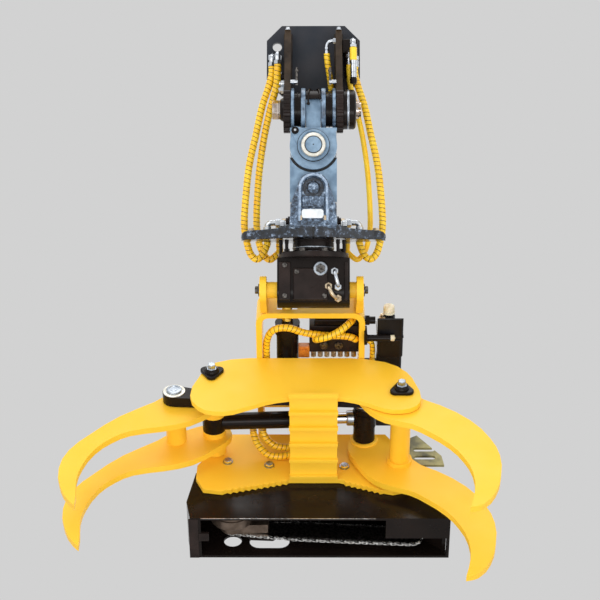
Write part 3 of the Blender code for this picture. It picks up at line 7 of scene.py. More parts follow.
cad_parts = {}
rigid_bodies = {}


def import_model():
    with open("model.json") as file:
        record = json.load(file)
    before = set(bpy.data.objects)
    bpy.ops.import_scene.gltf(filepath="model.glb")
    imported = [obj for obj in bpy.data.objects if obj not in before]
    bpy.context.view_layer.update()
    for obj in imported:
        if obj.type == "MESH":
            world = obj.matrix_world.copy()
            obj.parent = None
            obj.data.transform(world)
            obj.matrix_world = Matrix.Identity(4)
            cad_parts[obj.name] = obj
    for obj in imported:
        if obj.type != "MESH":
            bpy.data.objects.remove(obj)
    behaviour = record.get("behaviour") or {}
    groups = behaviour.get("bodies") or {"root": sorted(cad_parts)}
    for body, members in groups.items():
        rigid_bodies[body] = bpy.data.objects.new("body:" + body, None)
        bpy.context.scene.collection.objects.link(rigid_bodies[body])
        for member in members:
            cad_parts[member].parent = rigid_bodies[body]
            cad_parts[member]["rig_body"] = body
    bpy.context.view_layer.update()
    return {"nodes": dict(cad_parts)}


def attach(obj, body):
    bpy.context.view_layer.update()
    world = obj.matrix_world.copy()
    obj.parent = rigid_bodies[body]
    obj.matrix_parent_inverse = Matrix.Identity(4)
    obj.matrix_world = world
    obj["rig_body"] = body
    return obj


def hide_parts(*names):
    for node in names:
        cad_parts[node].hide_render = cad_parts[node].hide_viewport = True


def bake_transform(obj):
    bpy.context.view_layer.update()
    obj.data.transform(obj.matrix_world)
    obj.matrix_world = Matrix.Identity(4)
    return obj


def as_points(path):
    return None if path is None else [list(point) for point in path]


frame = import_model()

print("stage: frame loaded,", len(frame["nodes"]), "nodes")

# The grapple below the tilt pin is laid out upright (x across, y back, z along the arm pins), then leant back
grappleLean = {"pivot": (0.0, -0.105, -0.554), "degrees": 34.0}
leanMatrix = Matrix.Translation(grappleLean["pivot"]) @ Matrix.Rotation(radians(grappleLean["degrees"]), 4, "X")


# Colours and node helpers, used by every finish below

def linear(hexColour):
    parts = [int(hexColour[i:i + 2], 16) / 255 for i in (1, 3, 5)]
    return tuple(p / 12.92 if p <= 0.04045 else ((p + 0.055) / 1.055) ** 2.4 for p in parts) + (1.0,)


def addNode(tree, kind, settings=None, links=None):
    node = tree.nodes.new(kind)
    for key, value in (settings or {}).items():
        if isinstance(key, int) or key in node.inputs:
            node.inputs[key].default_value = value
        else:
            setattr(node, key, value)
    for key, source in (links or {}).items():
        tree.links.new(source, node.inputs[key])
    return node


def newFinish(name, look):
    made = bpy.data.materials.new(name)
    made.use_nodes = True
    tree = made.node_tree
    shader = tree.nodes["Principled BSDF"]
    for key, value in look.items():
        shader.inputs[key].default_value = value
    return made, tree, shader, addNode(tree, "ShaderNodeTexCoord").outputs


# Object coordinates are in metres, so a pattern of so many millimetres has the scale 1000 / mm
def noiseOf(tree, place, sizeMm, detail, **more):
    return addNode(tree, "ShaderNodeTexNoise", {"Scale": 1000 / sizeMm, "Detail": detail, **more},
                   {"Vector": place}).outputs["Fac"]


def ramped(tree, value, colours, low=0.35, high=0.65):
    ramp = addNode(tree, "ShaderNodeValToRGB", links={"Fac": value})
    stops = ramp.color_ramp.elements
    stops[0].position, stops[1].position = low, high
    stops[0].color, stops[1].color = linear(colours[0]), linear(colours[1])
    if len(colours) == 3:
        stops.new(0.55).color = linear(colours[2])
    return ramp.outputs["Color"]


def roughened(tree, shader, value, low, high, rough):
    spread = addNode(tree, "ShaderNodeMapRange", {"From Min": low, "From Max": high, "To Min": rough[0],
                                                  "To Max": rough[1]}, {"Value": value})
    tree.links.new(spread.outputs["Result"], shader.inputs["Roughness"])


def bumped(tree, shader, value, strength, depth):
    bump = addNode(tree, "ShaderNodeBump", {"Strength": strength, "Distance": depth}, {"Height": value})
    tree.links.new(bump.outputs["Normal"], shader.inputs["Normal"])


# Sprayed or moulded surfaces: clouds of colour, dust in the gloss and a fine peel in the bump
def paintFinish(name, colours, patchMm, rough, dustMm, peelMm, peel, look):
    made, tree, shader, place = newFinish(name, look)
    cloud = noiseOf(tree, place["Object"], patchMm, 3.0)
    tree.links.new(ramped(tree, cloud, colours), shader.inputs["Base Color"])
    roughened(tree, shader, noiseOf(tree, place["Object"], dustMm, 5.0), 0.35, 0.75, rough)
    bumped(tree, shader, noiseOf(tree, place["Object"], peelMm, 2.0), peel, 0.0004)
    return made


# Sand castings: round grains under patchy paint, whose high spots are paler: painted highlight
def castFinish(name, colours, patchMm, grainMm, strength):
    made, tree, shader, place = newFinish(name, {"IOR": 1.5, "Roughness": 0.30, "Coat Weight": 0.2})
    grain = addNode(tree, "ShaderNodeTexVoronoi", {"Scale": 1000 / grainMm}, {"Vector": place["Object"]})
    cloud = noiseOf(tree, place["Object"], patchMm, 8.0, Roughness=0.7)
    tree.links.new(ramped(tree, cloud, colours, 0.40, 0.68), shader.inputs["Base Color"])
    height = addNode(tree, "ShaderNodeMath", {"operation": "MULTIPLY_ADD", 1: 0.5},
                     {0: grain.outputs["Distance"], 2: cloud})
    bumped(tree, shader, height.outputs["Value"], strength, 0.0012)
    return made


# Metals: a soft cloud in the tint, and the lay of the tool in the gloss and the bump
def metalFinish(name, colours, patchMm, rough, grainMm, stretch, strength, metallic):
    made, tree, shader, place = newFinish(name, {"Metallic": metallic})
    cloud = noiseOf(tree, place["Object"], patchMm, 5.0)
    tree.links.new(ramped(tree, cloud, colours), shader.inputs["Base Color"])
    stretched = addNode(tree, "ShaderNodeMapping", {"Scale": stretch}, {"Vector": place["Object"]})
    grain = noiseOf(tree, stretched.outputs["Vector"], grainMm, 2.0)
    roughened(tree, shader, grain, 0.3, 0.7, rough)
    bumped(tree, shader, grain, strength, 0.0002)
    return made


# Each row: name, colours, patches in mm, roughness, dust in mm, peel in mm and its strength, shader's settings
paints = {
    # Two-pack enamel sprayed on welded steel plate: deep yellow with a soft gloss and a faint orange peel
    "yellow": ("yellowTwoPackEnamel", ("#FDC52E", "#FECB38"), 180, (0.40, 0.54), 60, 3.5, 0.08,
               {"IOR": 1.5, "Specular IOR Level": 0.30}),
    # Black enamel on plate: nearly black, warm, glossy enough to mirror the lamps softly
    "black": ("blackGlossEnamel", ("#130E0C", "#1D1613"), 120, (0.18, 0.32), 40, 3.5, 0.08,
              {"IOR": 1.5, "Specular IOR Level": 0.15}),
    # Thin primer on rolled plate: blue-black, half matt, with cloudy patches of mill scale under it
    "plate": ("brownPlatePrimer", ("#232932", "#35353A"), 70, (0.34, 0.56), 25, 5.0, 0.15,
              {"IOR": 1.45, "Specular IOR Level": 0.30}),
    # The same primer on the ears, darker and browner: a shaded copy of the plate primer, painted shade on the ears'
    # sides
    "ear": ("darkEarPrimer", ("#1A120D", "#3C2F22"), 34, (0.26, 0.46), 20, 5.0, 0.2,
            {"IOR": 1.45, "Specular IOR Level": 0.30}),
    # Grey-blue machine enamel over a machined casting: pale, satin, faintly speckled
    "link": ("greyBlueMachineEnamel", ("#607A92", "#849FB7"), 22, (0.30, 0.46), 14, 2.6, 0.25,
             {"IOR": 1.5, "Coat Weight": 0.1}),
    # The same enamel on the hub's flanges, with dark clouds: painted dark reflection, as seen on the flanges' tops
    "hubPaint": ("wornHubEnamel", ("#3E4E61", "#8FA9C2"), 18, (0.30, 0.46), 14, 2.6, 0.25,
                 {"IOR": 1.5, "Coat Weight": 0.1}),
    # Phosphated, oiled steel of the rotor: brown-black with a satin sheen
    "rotorBlack": ("phosphatedRotorSteel", ("#1B1513", "#2E2421"), 60, (0.24, 0.38), 40, 3.5, 0.08,
                   {"IOR": 1.5, "Specular IOR Level": 0.15}),
    # Rotationally moulded polyethylene tank: black, half matt, with a soft large ripple
    "tank": ("mouldedPolyethylene", ("#120F10", "#1B1A1D"), 80, (0.26, 0.42), 30, 12.0, 0.30,
             {"IOR": 1.5, "Specular IOR Level": 0.20}),
    # Moulded nylon of the filler cap: cream, satin, a little light in its depth
    "nylon": ("mouldedCreamNylon", ("#CDBD98", "#E6DCC2"), 12, (0.35, 0.50), 6, 1.2, 0.15,
              {"IOR": 1.53, "Subsurface Weight": 0.05}),
    # Blank name plate: white enamelled aluminium, smooth
    "white": ("whiteEnamelledPlate", ("#D3D9DC", "#E8ECEE"), 15, (0.25, 0.40), 8, 2.0, 0.08, {"IOR": 1.5}),
    # Nitrile rubber of seals: black and matt; the same finish colours the painted shadow ring round the cross pin and
    # the painted shade sheet in the link's gap
    "rubber": ("nitrileRubber", ("#121212", "#1C1B1B"), 12, (0.55, 0.75), 5, 1.0, 0.3, {"IOR": 1.52}),
    # Orange nylon of the valve's connector block: satin, with fine mould texture
    "orange": ("orangeConnectorNylon", ("#B8641C", "#E08A2C"), 6, (0.30, 0.45), 4, 1.2, 0.1, {"IOR": 1.53}),
    # Plain sheath of thermoplastic hose, without the guard: bright yellow, satin
    "sheath": ("plainHoseSheath", ("#FFCB1F", "#FFD838"), 40, (0.34, 0.48), 10, 1.5, 0.1, {"IOR": 1.5}),
}
# Each row: name, colours (low, high, middle), patches in mm, grain in mm, strength of the bump
castings = {
    # Sand cast iron under dark blue-grey paint: coarse grain, with pale patches that are painted highlight on its high
    # spots
    "cast": ("paintedSandCastIron", ("#1B2633", "#BFD2E6", "#5C7088"), 8.0, 3.2, 0.50),
    # The same casting in three lit and shaded copies: a darker boss and a darker wing as painted shade, and a paler rim
    # as painted highlight
    "castDark": ("castIronBoss", ("#0D1219", "#6B7E97", "#1D2733"), 4.5, 3.2, 0.50),
    "castRim": ("castIronRim", ("#6C8099", "#D2DFEC", "#9DB1C8"), 9.0, 3.2, 0.35),
    "castWing": ("castIronWing", ("#090C12", "#8FA2BC", "#1B2430"), 11.0, 4.0, 0.50),
}
# Each row: name, colours, patches in mm, roughness, grain in mm and its stretch, strength of the bump, metallic
evenly = (1, 1, 1)
metals = {
    # Zinc plated steel with a clear passivation: cool white metal with a bluish cloud
    "zinc": ("clearZincPlating", ("#B4BAC2", "#D8DCE0"), 14, (0.18, 0.34), 0.8, evenly, 0.1, 1.0),
    # Zinc plated steel with a yellow passivation: brassy, slightly uneven
    "brassy": ("yellowZincPlating", ("#A48E72", "#DCCDB2"), 9, (0.24, 0.42), 0.8, evenly, 0.1, 1.0),
    # Nickel plated nuts: warm grey, glossy, with the brown of the ears painted in as a reflection
    "nickel": ("nickelPlatedNut", ("#8A7769", "#D9D0C9"), 16, (0.14, 0.28), 0.8, evenly, 0.05, 1.0),
    # Hard chromed, ground rod: a clean mirror with a very fine lay
    "chrome": ("hardChromedRod", ("#D6D9DD", "#E6E8EA"), 60, (0.05, 0.10), 0.6, evenly, 0.02, 1.0),
    # Turned steel left bare: a little darker, with the tool's lay in its roughness
    "turned": ("bareTurnedSteel", ("#8F97A1", "#B9C0C8"), 20, (0.22, 0.40), 0.7, (6, 1, 1), 0.15, 1.0),
    # Black oxide on small bolts, the bar and the sprocket: dark steel with oily, uneven gloss
    "oiled": ("oiledDarkSteel", ("#2E2C2B", "#77736F"), 5, (0.22, 0.46), 1.0, evenly, 0.2, 1.0),
    # Saw chain: chromed cutters over straps worn bright where they run; the same steel is the painted highlight on the
    # box's lip
    "oiledBright": ("sawChainSteel", ("#8A8886", "#F0F0EE"), 6, (0.12, 0.30), 1.0, evenly, 0.2, 1.0),
    # Anodised light metal of the saw motor: grey-brown, finely turned
    "motor": ("anodisedMotorMetal", ("#54463C", "#75665A"), 22, (0.30, 0.45), 0.9, (1, 1, 8), 0.15, 0.8),
    # Olive chromate on thin sheet: dull yellow-green with darker clouds
    "olive": ("oliveChromateSheet", ("#4C4A33", "#A39C68"), 45, (0.34, 0.50), 0.8, evenly, 0.1, 0.35),
    # Ring nut and thrust ring: a cream white, satin passivation on steel
    "cream": ("creamRingNut", ("#D6D3C6", "#F2EFE6"), 8, (0.28, 0.42), 0.8, evenly, 0.1, 0.45),
}
finish = {}
for maker, rows in ((paintFinish, paints), (castFinish, castings), (metalFinish, metals)):
    finish.update({key: maker(*row) for key, row in rows.items()})

# Extruded yellow spiral guard round a hose: the gap between turns is painted dark, as painted shade in the groove
spiralGuard = {"yellow": ("#F8BE12", "#FFD32A"), "gap": "#4A3204", "gapShare": 0.13, "pitch": 0.0100, "peelMm": 1.2}


def guardFinish():
    made, tree, shader, place = newFinish("spiralHoseGuard", {"Roughness": 0.38, "IOR": 1.5, "Coat Weight": 0.15})
    split = addNode(tree, "ShaderNodeSeparateXYZ", links={"Vector": place["UV"]})
    phase = addNode(tree, "ShaderNodeMath", {"operation": "ADD"}, {0: split.outputs["X"], 1: split.outputs["Y"]})
    turn = addNode(tree, "ShaderNodeMath", {"operation": "FRACT"}, {0: phase.outputs["Value"]})
    gap = addNode(tree, "ShaderNodeMath", {"operation": "LESS_THAN", 1: spiralGuard["gapShare"]},
                  {0: turn.outputs["Value"]})
    yellow = ramped(tree, noiseOf(tree, place["Object"], 25, 3.0), spiralGuard["yellow"])
    mixed = addNode(tree, "ShaderNodeMix", {"data_type": "RGBA"}, {"Factor": gap.outputs["Value"]})
    tree.links.new(yellow, mixed.inputs[6])
    # the gap's dark colour is painted shade
    mixed.inputs[7].default_value = linear(spiralGuard["gap"])
    tree.links.new(mixed.outputs[2], shader.inputs["Base Color"])
    bumped(tree, shader, noiseOf(tree, place["Object"], spiralGuard["peelMm"], 2.0), 0.15, 0.0003)
    return made


finish["guard"] = guardFinish()
print("stage: finishes ready,", len(finish))


# Modelling helpers; places are in mm, and shapes are made in metres

def mm(*values):
    return tuple(value / 1000 for value in values)


def pickOnly(obj=None):
    for other in list(bpy.context.selected_objects):
        other.select_set(False)
    if obj:
        obj.select_set(True)
        bpy.context.view_layer.objects.active = obj


def applyAll(obj):
    pickOnly(obj)
    for modifier in list(obj.modifiers):
        bpy.ops.object.modifier_apply(modifier=modifier.name)
    bpy.ops.object.transform_apply(location=True, rotation=True, scale=True)
    return obj


# Runs mesh operators on all of a piece; each step is the operator and its settings
def editMesh(obj, *steps):
    pickOnly(obj)
    bpy.ops.object.mode_set(mode="EDIT")
    bpy.ops.mesh.select_all(action="SELECT")
    for operator, settings in steps:
        operator(**settings)
    bpy.ops.object.mode_set(mode="OBJECT")
    return obj


def softenEdges(obj, width, segments=2, angle=30):
    bevel = obj.modifiers.new("softEdge", "BEVEL")
    bevel.width = width / 1000
    bevel.segments = segments
    bevel.limit_method = "ANGLE"
    bevel.angle_limit = radians(angle)
    bevel.use_clamp_overlap = True
    return applyAll(obj)


def bevelAll(obj, width, segments=3):
    return editMesh(obj, (bpy.ops.mesh.bevel, {"offset": width / 1000, "segments": segments, "affect": "EDGES"}))


def blockBetween(low, high):
    low, high = Vector(mm(*low)), Vector(mm(*high))
    pickOnly()
    bpy.ops.mesh.primitive_cube_add(size=1, location=(low + high) / 2, scale=high - low)
    return bpy.context.active_object


def softBlock(low, high, width, segments=2):
    return softenEdges(blockBetween(low, high), width, segments)


def copyOf(source):
    obj = source.copy()
    obj.data = source.data.copy()
    bpy.context.scene.collection.objects.link(obj)
    return obj


def joined(objects):
    pickOnly(objects[0])
    for obj in objects:
        obj.select_set(True)
    if len(objects) > 1:
        bpy.ops.object.join()
    return objects[0]


# The slot that each finish belongs to, unless a piece names another
slotOf = {
    "bracket_brown": ("plate", "ear"), "link_grey_blue": ("link", "hubPaint"), "zinc_yellow": ("olive",),
    "cast_iron": ("cast", "castDark", "castRim", "castWing"),
    "black_paint": ("black", "rotorBlack", "rubber", "orange"),
    "yellow_paint": ("yellow",), "hose_yellow": ("sheath", "guard"), "motor_grey": ("motor",),
    "bright_steel": ("zinc", "brassy", "nickel", "chrome", "turned", "oiled", "oiledBright", "cream", "white"),
    "tank_plastic": ("tank",), "cream_plastic": ("nylon",),
}
slotOf = {look: slot for slot, looks in slotOf.items() for look in looks}


# Gives a piece its name, finish and body. Weighted normals keep flat faces flat beside rounded edges
def settle(obj, name, body, look, *replaced, slot=None, smooth=40, lean=False):
    if lean:
        applyAll(obj)
        obj.matrix_world = leanMatrix
    applyAll(obj)
    obj.name = name
    obj.data.name = name
    obj.data.materials.clear()
    obj.data.materials.append(finish[look])
    bpy.ops.object.shade_smooth_by_angle(angle=radians(smooth))
    weighted = obj.modifiers.new("flatFaces", "WEIGHTED_NORMAL")
    weighted.keep_sharp = True
    weighted.weight = 80
    bpy.ops.object.modifier_apply(modifier=weighted.name)
    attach(obj, body)
    slot or slotOf[look]
    if replaced:
        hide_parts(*replaced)
    return obj


# settle for one body, so a group of pieces names it once
def settler(body, lean=False):
    return lambda obj, name, look, *replaced, **more: settle(obj, name, body, look, *replaced, lean=lean, **more)


onBracket, onLink, onHead, onRotor = [settler(body) for body in ("bracket", "cross_link", "rotator_head", "rotor")]
onFrame = settler("grapple_frame", lean=True)

ways = {"x": (1, 0, 0), "-x": (-1, 0, 0), "y": (0, 1, 0), "-y": (0, -1, 0), "z": (0, 0, 1), "-z": (0, 0, -1)}


# A round piece drawn out of a filled circle: each step is how far along it is and its radius, in mm
def turnedRod(start, way, steps, sides=40):
    way = Vector(ways[way]) if isinstance(way, str) else Vector(way).normalized()
    (firstAlong, radius), *rest = steps
    pickOnly()
    bpy.ops.mesh.primitive_circle_add(vertices=sides, radius=radius / 1000, fill_type="NGON", location=(0, 0, 0))
    obj = bpy.context.active_object
    bpy.ops.object.mode_set(mode="EDIT")
    bpy.ops.mesh.select_all(action="SELECT")
    along = firstAlong
    for nextAlong, nextRadius in rest:
        bpy.ops.mesh.extrude_region_move(
            TRANSFORM_OT_translate={"value": (0, 0, (nextAlong - along) / 1000)})
        grow = nextRadius / radius
        if grow != 1:
            bpy.ops.transform.resize(value=(grow, grow, 1), center_override=(0, 0, (nextAlong - firstAlong) / 1000))
        along, radius = nextAlong, nextRadius
    bpy.ops.object.mode_set(mode="OBJECT")
    editMesh(obj, (bpy.ops.mesh.normals_make_consistent, {"inside": False}))
    obj.matrix_world = (Matrix.Translation(Vector(mm(*start)) + way * firstAlong / 1000)
                        @ way.to_track_quat("Z", "Y").to_matrix().to_4x4())
    return applyAll(obj)


# A six-sided piece with broken edges
def hexRod(start, way, steps, width=0.5, segments=1):
    return softenEdges(turnedRod(start, way, steps, 6), width, segments)


# A flat plate cut to an outline in mm; plane names the two axes that the outline's points are in
def cutPlate(points, low, high, plane="XY"):
    curve = bpy.data.curves.new("outline", "CURVE")
    curve.dimensions = "2D"
    curve.fill_mode = "BOTH"
    curve.extrude = (high - low) / 2000
    spline = curve.splines.new("POLY")
    spline.points.add(len(points) - 1)
    for spot, point in zip(spline.points, points):
        spot.co = (*mm(*point[:2]), 0, 1)
    spline.use_cyclic_u = True
    obj = bpy.data.objects.new("cutPlate", curve)
    bpy.context.scene.collection.objects.link(obj)
    pickOnly(obj)
    bpy.ops.object.convert(target="MESH")
    obj = editMesh(bpy.context.active_object, (bpy.ops.mesh.remove_doubles, {"threshold": 0.00001}),
                   (bpy.ops.mesh.dissolve_limited, {"angle_limit": radians(0.5)}),
                   (bpy.ops.mesh.normals_make_consistent, {"inside": False}))
    middle = (low + high) / 2000
    if plane == "XZ":
        obj.matrix_world = Matrix.Translation((0, middle, 0)) @ Matrix.Rotation(radians(90), 4, "X")
    elif plane == "YZ":
        obj.matrix_world = Matrix(((0, 0, 1, middle), (1, 0, 0, 0), (0, 1, 0, 0), (0, 0, 0, 1)))
    else:
        obj.matrix_world = Matrix.Translation((0, 0, middle))
    return applyAll(obj)


def softPlate(points, low, high, plane, width, segments=2, angle=30):
    return softenEdges(cutPlate(points, low, high, plane), width, segments, angle)


def arcPoints(middle, radius, first, last, steps):
    angles = [radians(first + (last - first) * k / steps) for k in range(steps + 1)]
    return [(middle[0] + radius * cos(a), middle[1] + radius * sin(a)) for a in angles]


def carve(obj, *tools, how="DIFFERENCE"):
    for tool in tools:
        cutting = obj.modifiers.new("carve", "BOOLEAN")
        cutting.operation = how
        cutting.object = tool
        cutting.solver = "EXACT"
        pickOnly(obj)
        bpy.ops.object.modifier_apply(modifier=cutting.name)
        bpy.data.objects.remove(tool)
    return obj


# One hexagon bolt head on its washer, at the origin and looking up, copied to each place with its own mesh
def boltHeads(places, way, across, height, washer):
    head = hexRod((0, 0, 0), "z", [(washer * 0.15, across * 0.5), (height - 1, across * 0.5), (height, across * 0.44)],
                  0.3)
    ring = turnedRod((0, 0, 0), "z", [(-0.4, washer * 0.5), (washer * 0.13, washer * 0.5),
                                      (washer * 0.15, washer * 0.46)], 28)
    head = joined([head, ring])
    turn = Vector(ways[way]).to_track_quat("Z", "Y").to_matrix().to_4x4()
    heads = []
    for place in places:
        one = copyOf(head)
        one.matrix_world = Matrix.Translation(mm(*place)) @ turn
        heads.append(applyAll(one))
    bpy.data.objects.remove(head)
    return joined(heads)


# A copy of a CAD node with its edges broken by so many mm, as flame cut, machined or moulded pieces have
def softenedNode(node, look, widthMm, slot=None):
    obj = copyOf(frame["nodes"][node])
    for key in list(obj.keys()):
        del obj[key]
    obj.parent = None
    editMesh(obj, (bpy.ops.mesh.remove_doubles, {"threshold": 0.00002}),
             (bpy.ops.mesh.dissolve_limited, {"angle_limit": radians(1.0)}))
    softenEdges(obj, widthMm)
    first, *rest = node.split("_")
    name = first + "".join(word.title() for word in rest) + "Shell"
    return settle(obj, name, frame["nodes"][node]["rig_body"], look, node, slot=slot)


shells = {
    "coupler_plate": ("plate", 1.4), "ear_left": ("ear", 1.2), "ear_right": ("ear", 1.2), "cross_link": ("link", 1.2),
    "cross_pin_keeper": ("link", 1.0), "yoke_pin": ("cast", 1.0), "tilt_head": ("black", 2.0),
    "cheek_left": ("yellow", 1.2), "cheek_right": ("yellow", 1.2), "arch_frame": ("yellow", 1.2),
    "cylinder_mount": ("yellow", 1.0), "top_plate": ("yellow", 1.4), "bottom_plate": ("yellow", 1.2),
    "arm_pin_left": ("zinc", 0.8), "arm_pin_right": ("zinc", 0.8), "slotted_guard": ("olive", 0.8),
    "saw_box": ("black", 0.9), "right_arm": ("yellow", 1.4), "link_far_pin": ("zinc", 0.8), "left_arm": ("yellow", 1.4),
    "tie_link": ("black", 1.6), "guide_bar": ("oiled", 0.4), "solenoid_valve": ("black", 0.8),
    "tilt_barrel": ("black", 1.0), "tilt_rod": ("chrome", 0.8), "bar_holder": ("motor", 0.8, "black_paint"),
    "drive_sprocket": ("oiled", 0.4),
}
for node, row in shells.items():
    softenedNode(node, *row)
print("stage: shells made,", len(shells))


# Hoses

stretchSteps = 12


# A smooth way through the points, cut into even steps
def smoothRoute(points, count, lean=False):
    stops = [Vector(mm(*point)) for point in points]
    if lean:
        stops = [leanMatrix @ stop for stop in stops]
    ends = [2 * stops[0] - stops[1], *stops, 2 * stops[-1] - stops[-2]]
    fine = []
    for before, first, second, after in zip(ends, ends[1:], ends[2:], ends[3:]):
        for step in range(stretchSteps):
            t = step / stretchSteps
            fine.append(0.5 * (2 * first + (second - before) * t
                               + (2 * before - 5 * first + 4 * second - after) * t ** 2
                               + (3 * first - before - 3 * second + after) * t ** 3))
    fine.append(stops[-1])
    lengths = [0.0]
    for first, second in zip(fine, fine[1:]):
        lengths.append(lengths[-1] + (second - first).length)
    route = []
    place = 0
    for step in range(count + 1):
        target = lengths[-1] * step / count
        while place < len(fine) - 2 and lengths[place + 1] < target:
            place += 1
        share = (target - lengths[place]) / (lengths[place + 1] - lengths[place])
        route.append(fine[place].lerp(fine[place + 1], share))
    return route, lengths[-1]


# A tube on a route, with its UV turned round the hose and counted in turns of the guard along it
def hoseMesh(name, route, radius, groove=0.0, sides=18, startLength=0.0):
    bm = bmesh.new()
    layer = bm.loops.layers.uv.new("hoseTurns")
    side = Vector((0, 1, 0))
    rings = []
    travelled = startLength
    turnsAlong = []
    for index, point in enumerate(route):
        ahead = route[min(index + 1, len(route) - 1)] - route[max(index - 1, 0)]
        ahead.normalize()
        side = (side - ahead * side.dot(ahead)).normalized()
        across = ahead.cross(side)
        if index:
            travelled += (point - route[index - 1]).length
        along = travelled / spiralGuard["pitch"]
        turnsAlong.append(along)
        ring = []
        for k in range(sides):
            angle = 2 * pi * k / sides
            dip = groove if (along + k / sides) % 1.0 < spiralGuard["gapShare"] else 0.0
            ring.append(bm.verts.new(point + (side * cos(angle) + across * sin(angle)) * (radius - dip) / 1000))
        rings.append(ring)
    for index in range(len(rings) - 1):
        for k in range(sides):
            nextK = (k + 1) % sides
            face = bm.faces.new((rings[index][k], rings[index][nextK], rings[index + 1][nextK], rings[index + 1][k]))
            face.smooth = True
            corners = ((k, index), (k + 1, index), (k + 1, index + 1), (k, index + 1))
            for loop, (u, v) in zip(face.loops, corners):
                loop[layer].uv = (u / sides, turnsAlong[v])
    bm.faces.new(rings[0][::-1])
    bm.faces.new(rings[-1])
    bmesh.ops.recalc_face_normals(bm, faces=bm.faces)
    mesh = bpy.data.meshes.new(name)
    bm.to_mesh(mesh)
    bm.free()
    obj = bpy.data.objects.new(name, mesh)
    bpy.context.scene.collection.objects.link(obj)
    return obj


# A bent metal tube, named by the piece that it is joined into
def bentTube(points, count, radius, sides=18):
    return hoseMesh("bentTube", smoothRoute(points, count)[0], radius, sides=sides)


# Radii and the groove between the guard's turns are in mm, and the split between the two spans is a height in metres
hoseSet = {
    "thick": 8.5, "thin": 6.5, "split": -0.235, "groove": 1.1, "shortGroove": 1.0, "steps": 480,
    "outer": [(98, -42, -20.3), (98, -42, -38.3), (106, -45, -70), (121, -48, -118), (135, -50, -183), (150, -52, -253),
              (158, -53, -322), (162, -54, -395), (156, -54, -438), (147, -53, -466), (133, -52, -478),
              (119, -51, -468), (108, -51, -441.3), (108, -51, -427.3), (108, -51, -413.3), (108, -51, -401.3)],
    "inner": [(84, -66, -20.3), (84, -66, -36.3), (87, -60, -70), (100, -50, -118), (115, -42, -183), (126, -34, -253),
              (132, -30, -322), (134, -28, -395), (128, -28, -438), (118, -29, -464), (104, -30, -477),
              (91, -31, -470), (80, -31, -458.3), (80, -31, -446.3), (80, -31, -434.3), (80, -31, -422.3)],
}


# One of the four long hoses, in two spans split at a set height; the hose runs across the swing joint and the cross
# joint
def makeHose(name, node, points, radius, guarded):
    route, length = smoothRoute(points, hoseSet["steps"])
    cut = next(i for i, p in enumerate(route) if p.z < hoseSet["split"])
    groove = hoseSet["groove"] if guarded else 0.0
    upperLength = sum((b - a).length for a, b in zip(route[:cut], route[1:cut + 1]))
    upper = hoseMesh(name + "Upper", route[:cut + 1], radius, groove)
    lower = hoseMesh(name + "Lower", route[cut:], radius, groove, startLength=upperLength)
    for piece in (upper, lower):
        piece.data.materials.append(finish["guard" if guarded else "sheath"])
        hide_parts(node)
    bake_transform(upper)
    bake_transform(lower)
    mm(*points[0])
    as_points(route[:cut + 1])
    mm(*points[-1])
    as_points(route[cut:][::-1])
    print("hose", name, "is", round(length, 3), "m long")


for side, word in ((-1, "Left"), (1, "Right")):
    for which in ("outer", "inner"):
        plain = side > 0 and which == "inner"
        makeHose(which + "Hose" + word, "hose_" + which + "_" + word.lower(),
                 [(side * x, y, z) for x, y, z in hoseSet[which]], hoseSet["thin" if plain else "thick"], not plain)
print("stage: hoses hung")


# A short guarded hose on one body
def shortHose(name, body, points, radius, count, *replaced, lean=False):
    route, length = smoothRoute(points, count, lean)
    piece = hoseMesh(name, route, radius, hoseSet["shortGroove"], sides=16)
    piece.data.materials.append(finish["guard"])
    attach(piece, body)
    if replaced:
        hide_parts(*replaced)
    tuple(route[0]) if lean else mm(*points[0])
    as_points(route)
    print("hose", name, "is", round(length, 3), "m long")


# Coupler plate and swing hub

swingHub = {"y": -105, "z": -135, "teeth": 22, "toothRoot": 50.8, "toothTip": 54.0}


def hubAt(x):
    return (x, swingHub["y"], swingHub["z"])


def toothed(middle, root, tip, count, shares):
    points = []
    for k in range(count):
        for share, radius in zip(shares, (root, tip, tip, root)):
            angle = 2 * pi * (k + share) / count
            points.append((middle[0] + radius * cos(angle), middle[1] + radius * sin(angle)))
    return points


# Each ear's lower end is a friction ring, toothed all round; inside it a brake spool has two flanges on a dark core
for side, word in ((-1, "Left"), (1, "Right")):
    outline = toothed((swingHub["y"], swingHub["z"]), swingHub["toothRoot"], swingHub["toothTip"], swingHub["teeth"],
                      (0.0, 0.14, 0.56, 0.70))
    low, high = sorted((side * 53, side * 69))
    onBracket(softPlate(outline, low, high, "YZ", 0.6, 1), "frictionRing" + word, "rotorBlack", slot="bracket_brown")
    node, outwards = "brake_spool_" + word.lower(), (side, 0, 0)
    core = turnedRod(hubAt(side * 17.5), outwards, [(0.5, 40), (10.5, 40), (11, 42.5), (12, 42.5), (12.5, 40), (18, 40),
                                                    (18.5, 42.5), (20, 42.5), (20.5, 40), (34.5, 40)], 64)
    onLink(core, "spoolCore" + word, "black", node)
    for start, end, which in ((0.5, 11.0, "Inner"), (26.5, 34.5, "Outer")):
        flange = turnedRod(hubAt(side * 17.5), outwards, [(start, 48.5), (start + 1.2, 50), (end - 1.2, 50),
                                                          (end, 48.5)], 72)
        onLink(flange, "spoolFlange" + which + word, "hubPaint", node)

# The hub between the flanges: a dark band over its top, painted dark reflection
hubTop = turnedRod(hubAt(-17.2), "x", [(0, 45.2), (0.8, 46.2), (33.6, 46.2), (34.4, 45.2)], 64)
editMesh(hubTop, (bpy.ops.mesh.bisect, {"plane_co": (0, -0.15, -0.1160), "plane_no": (0, 0.15, 1), "use_fill": True,
                                        "clear_inner": True}))
onLink(hubTop, "hubTopBand", "black")

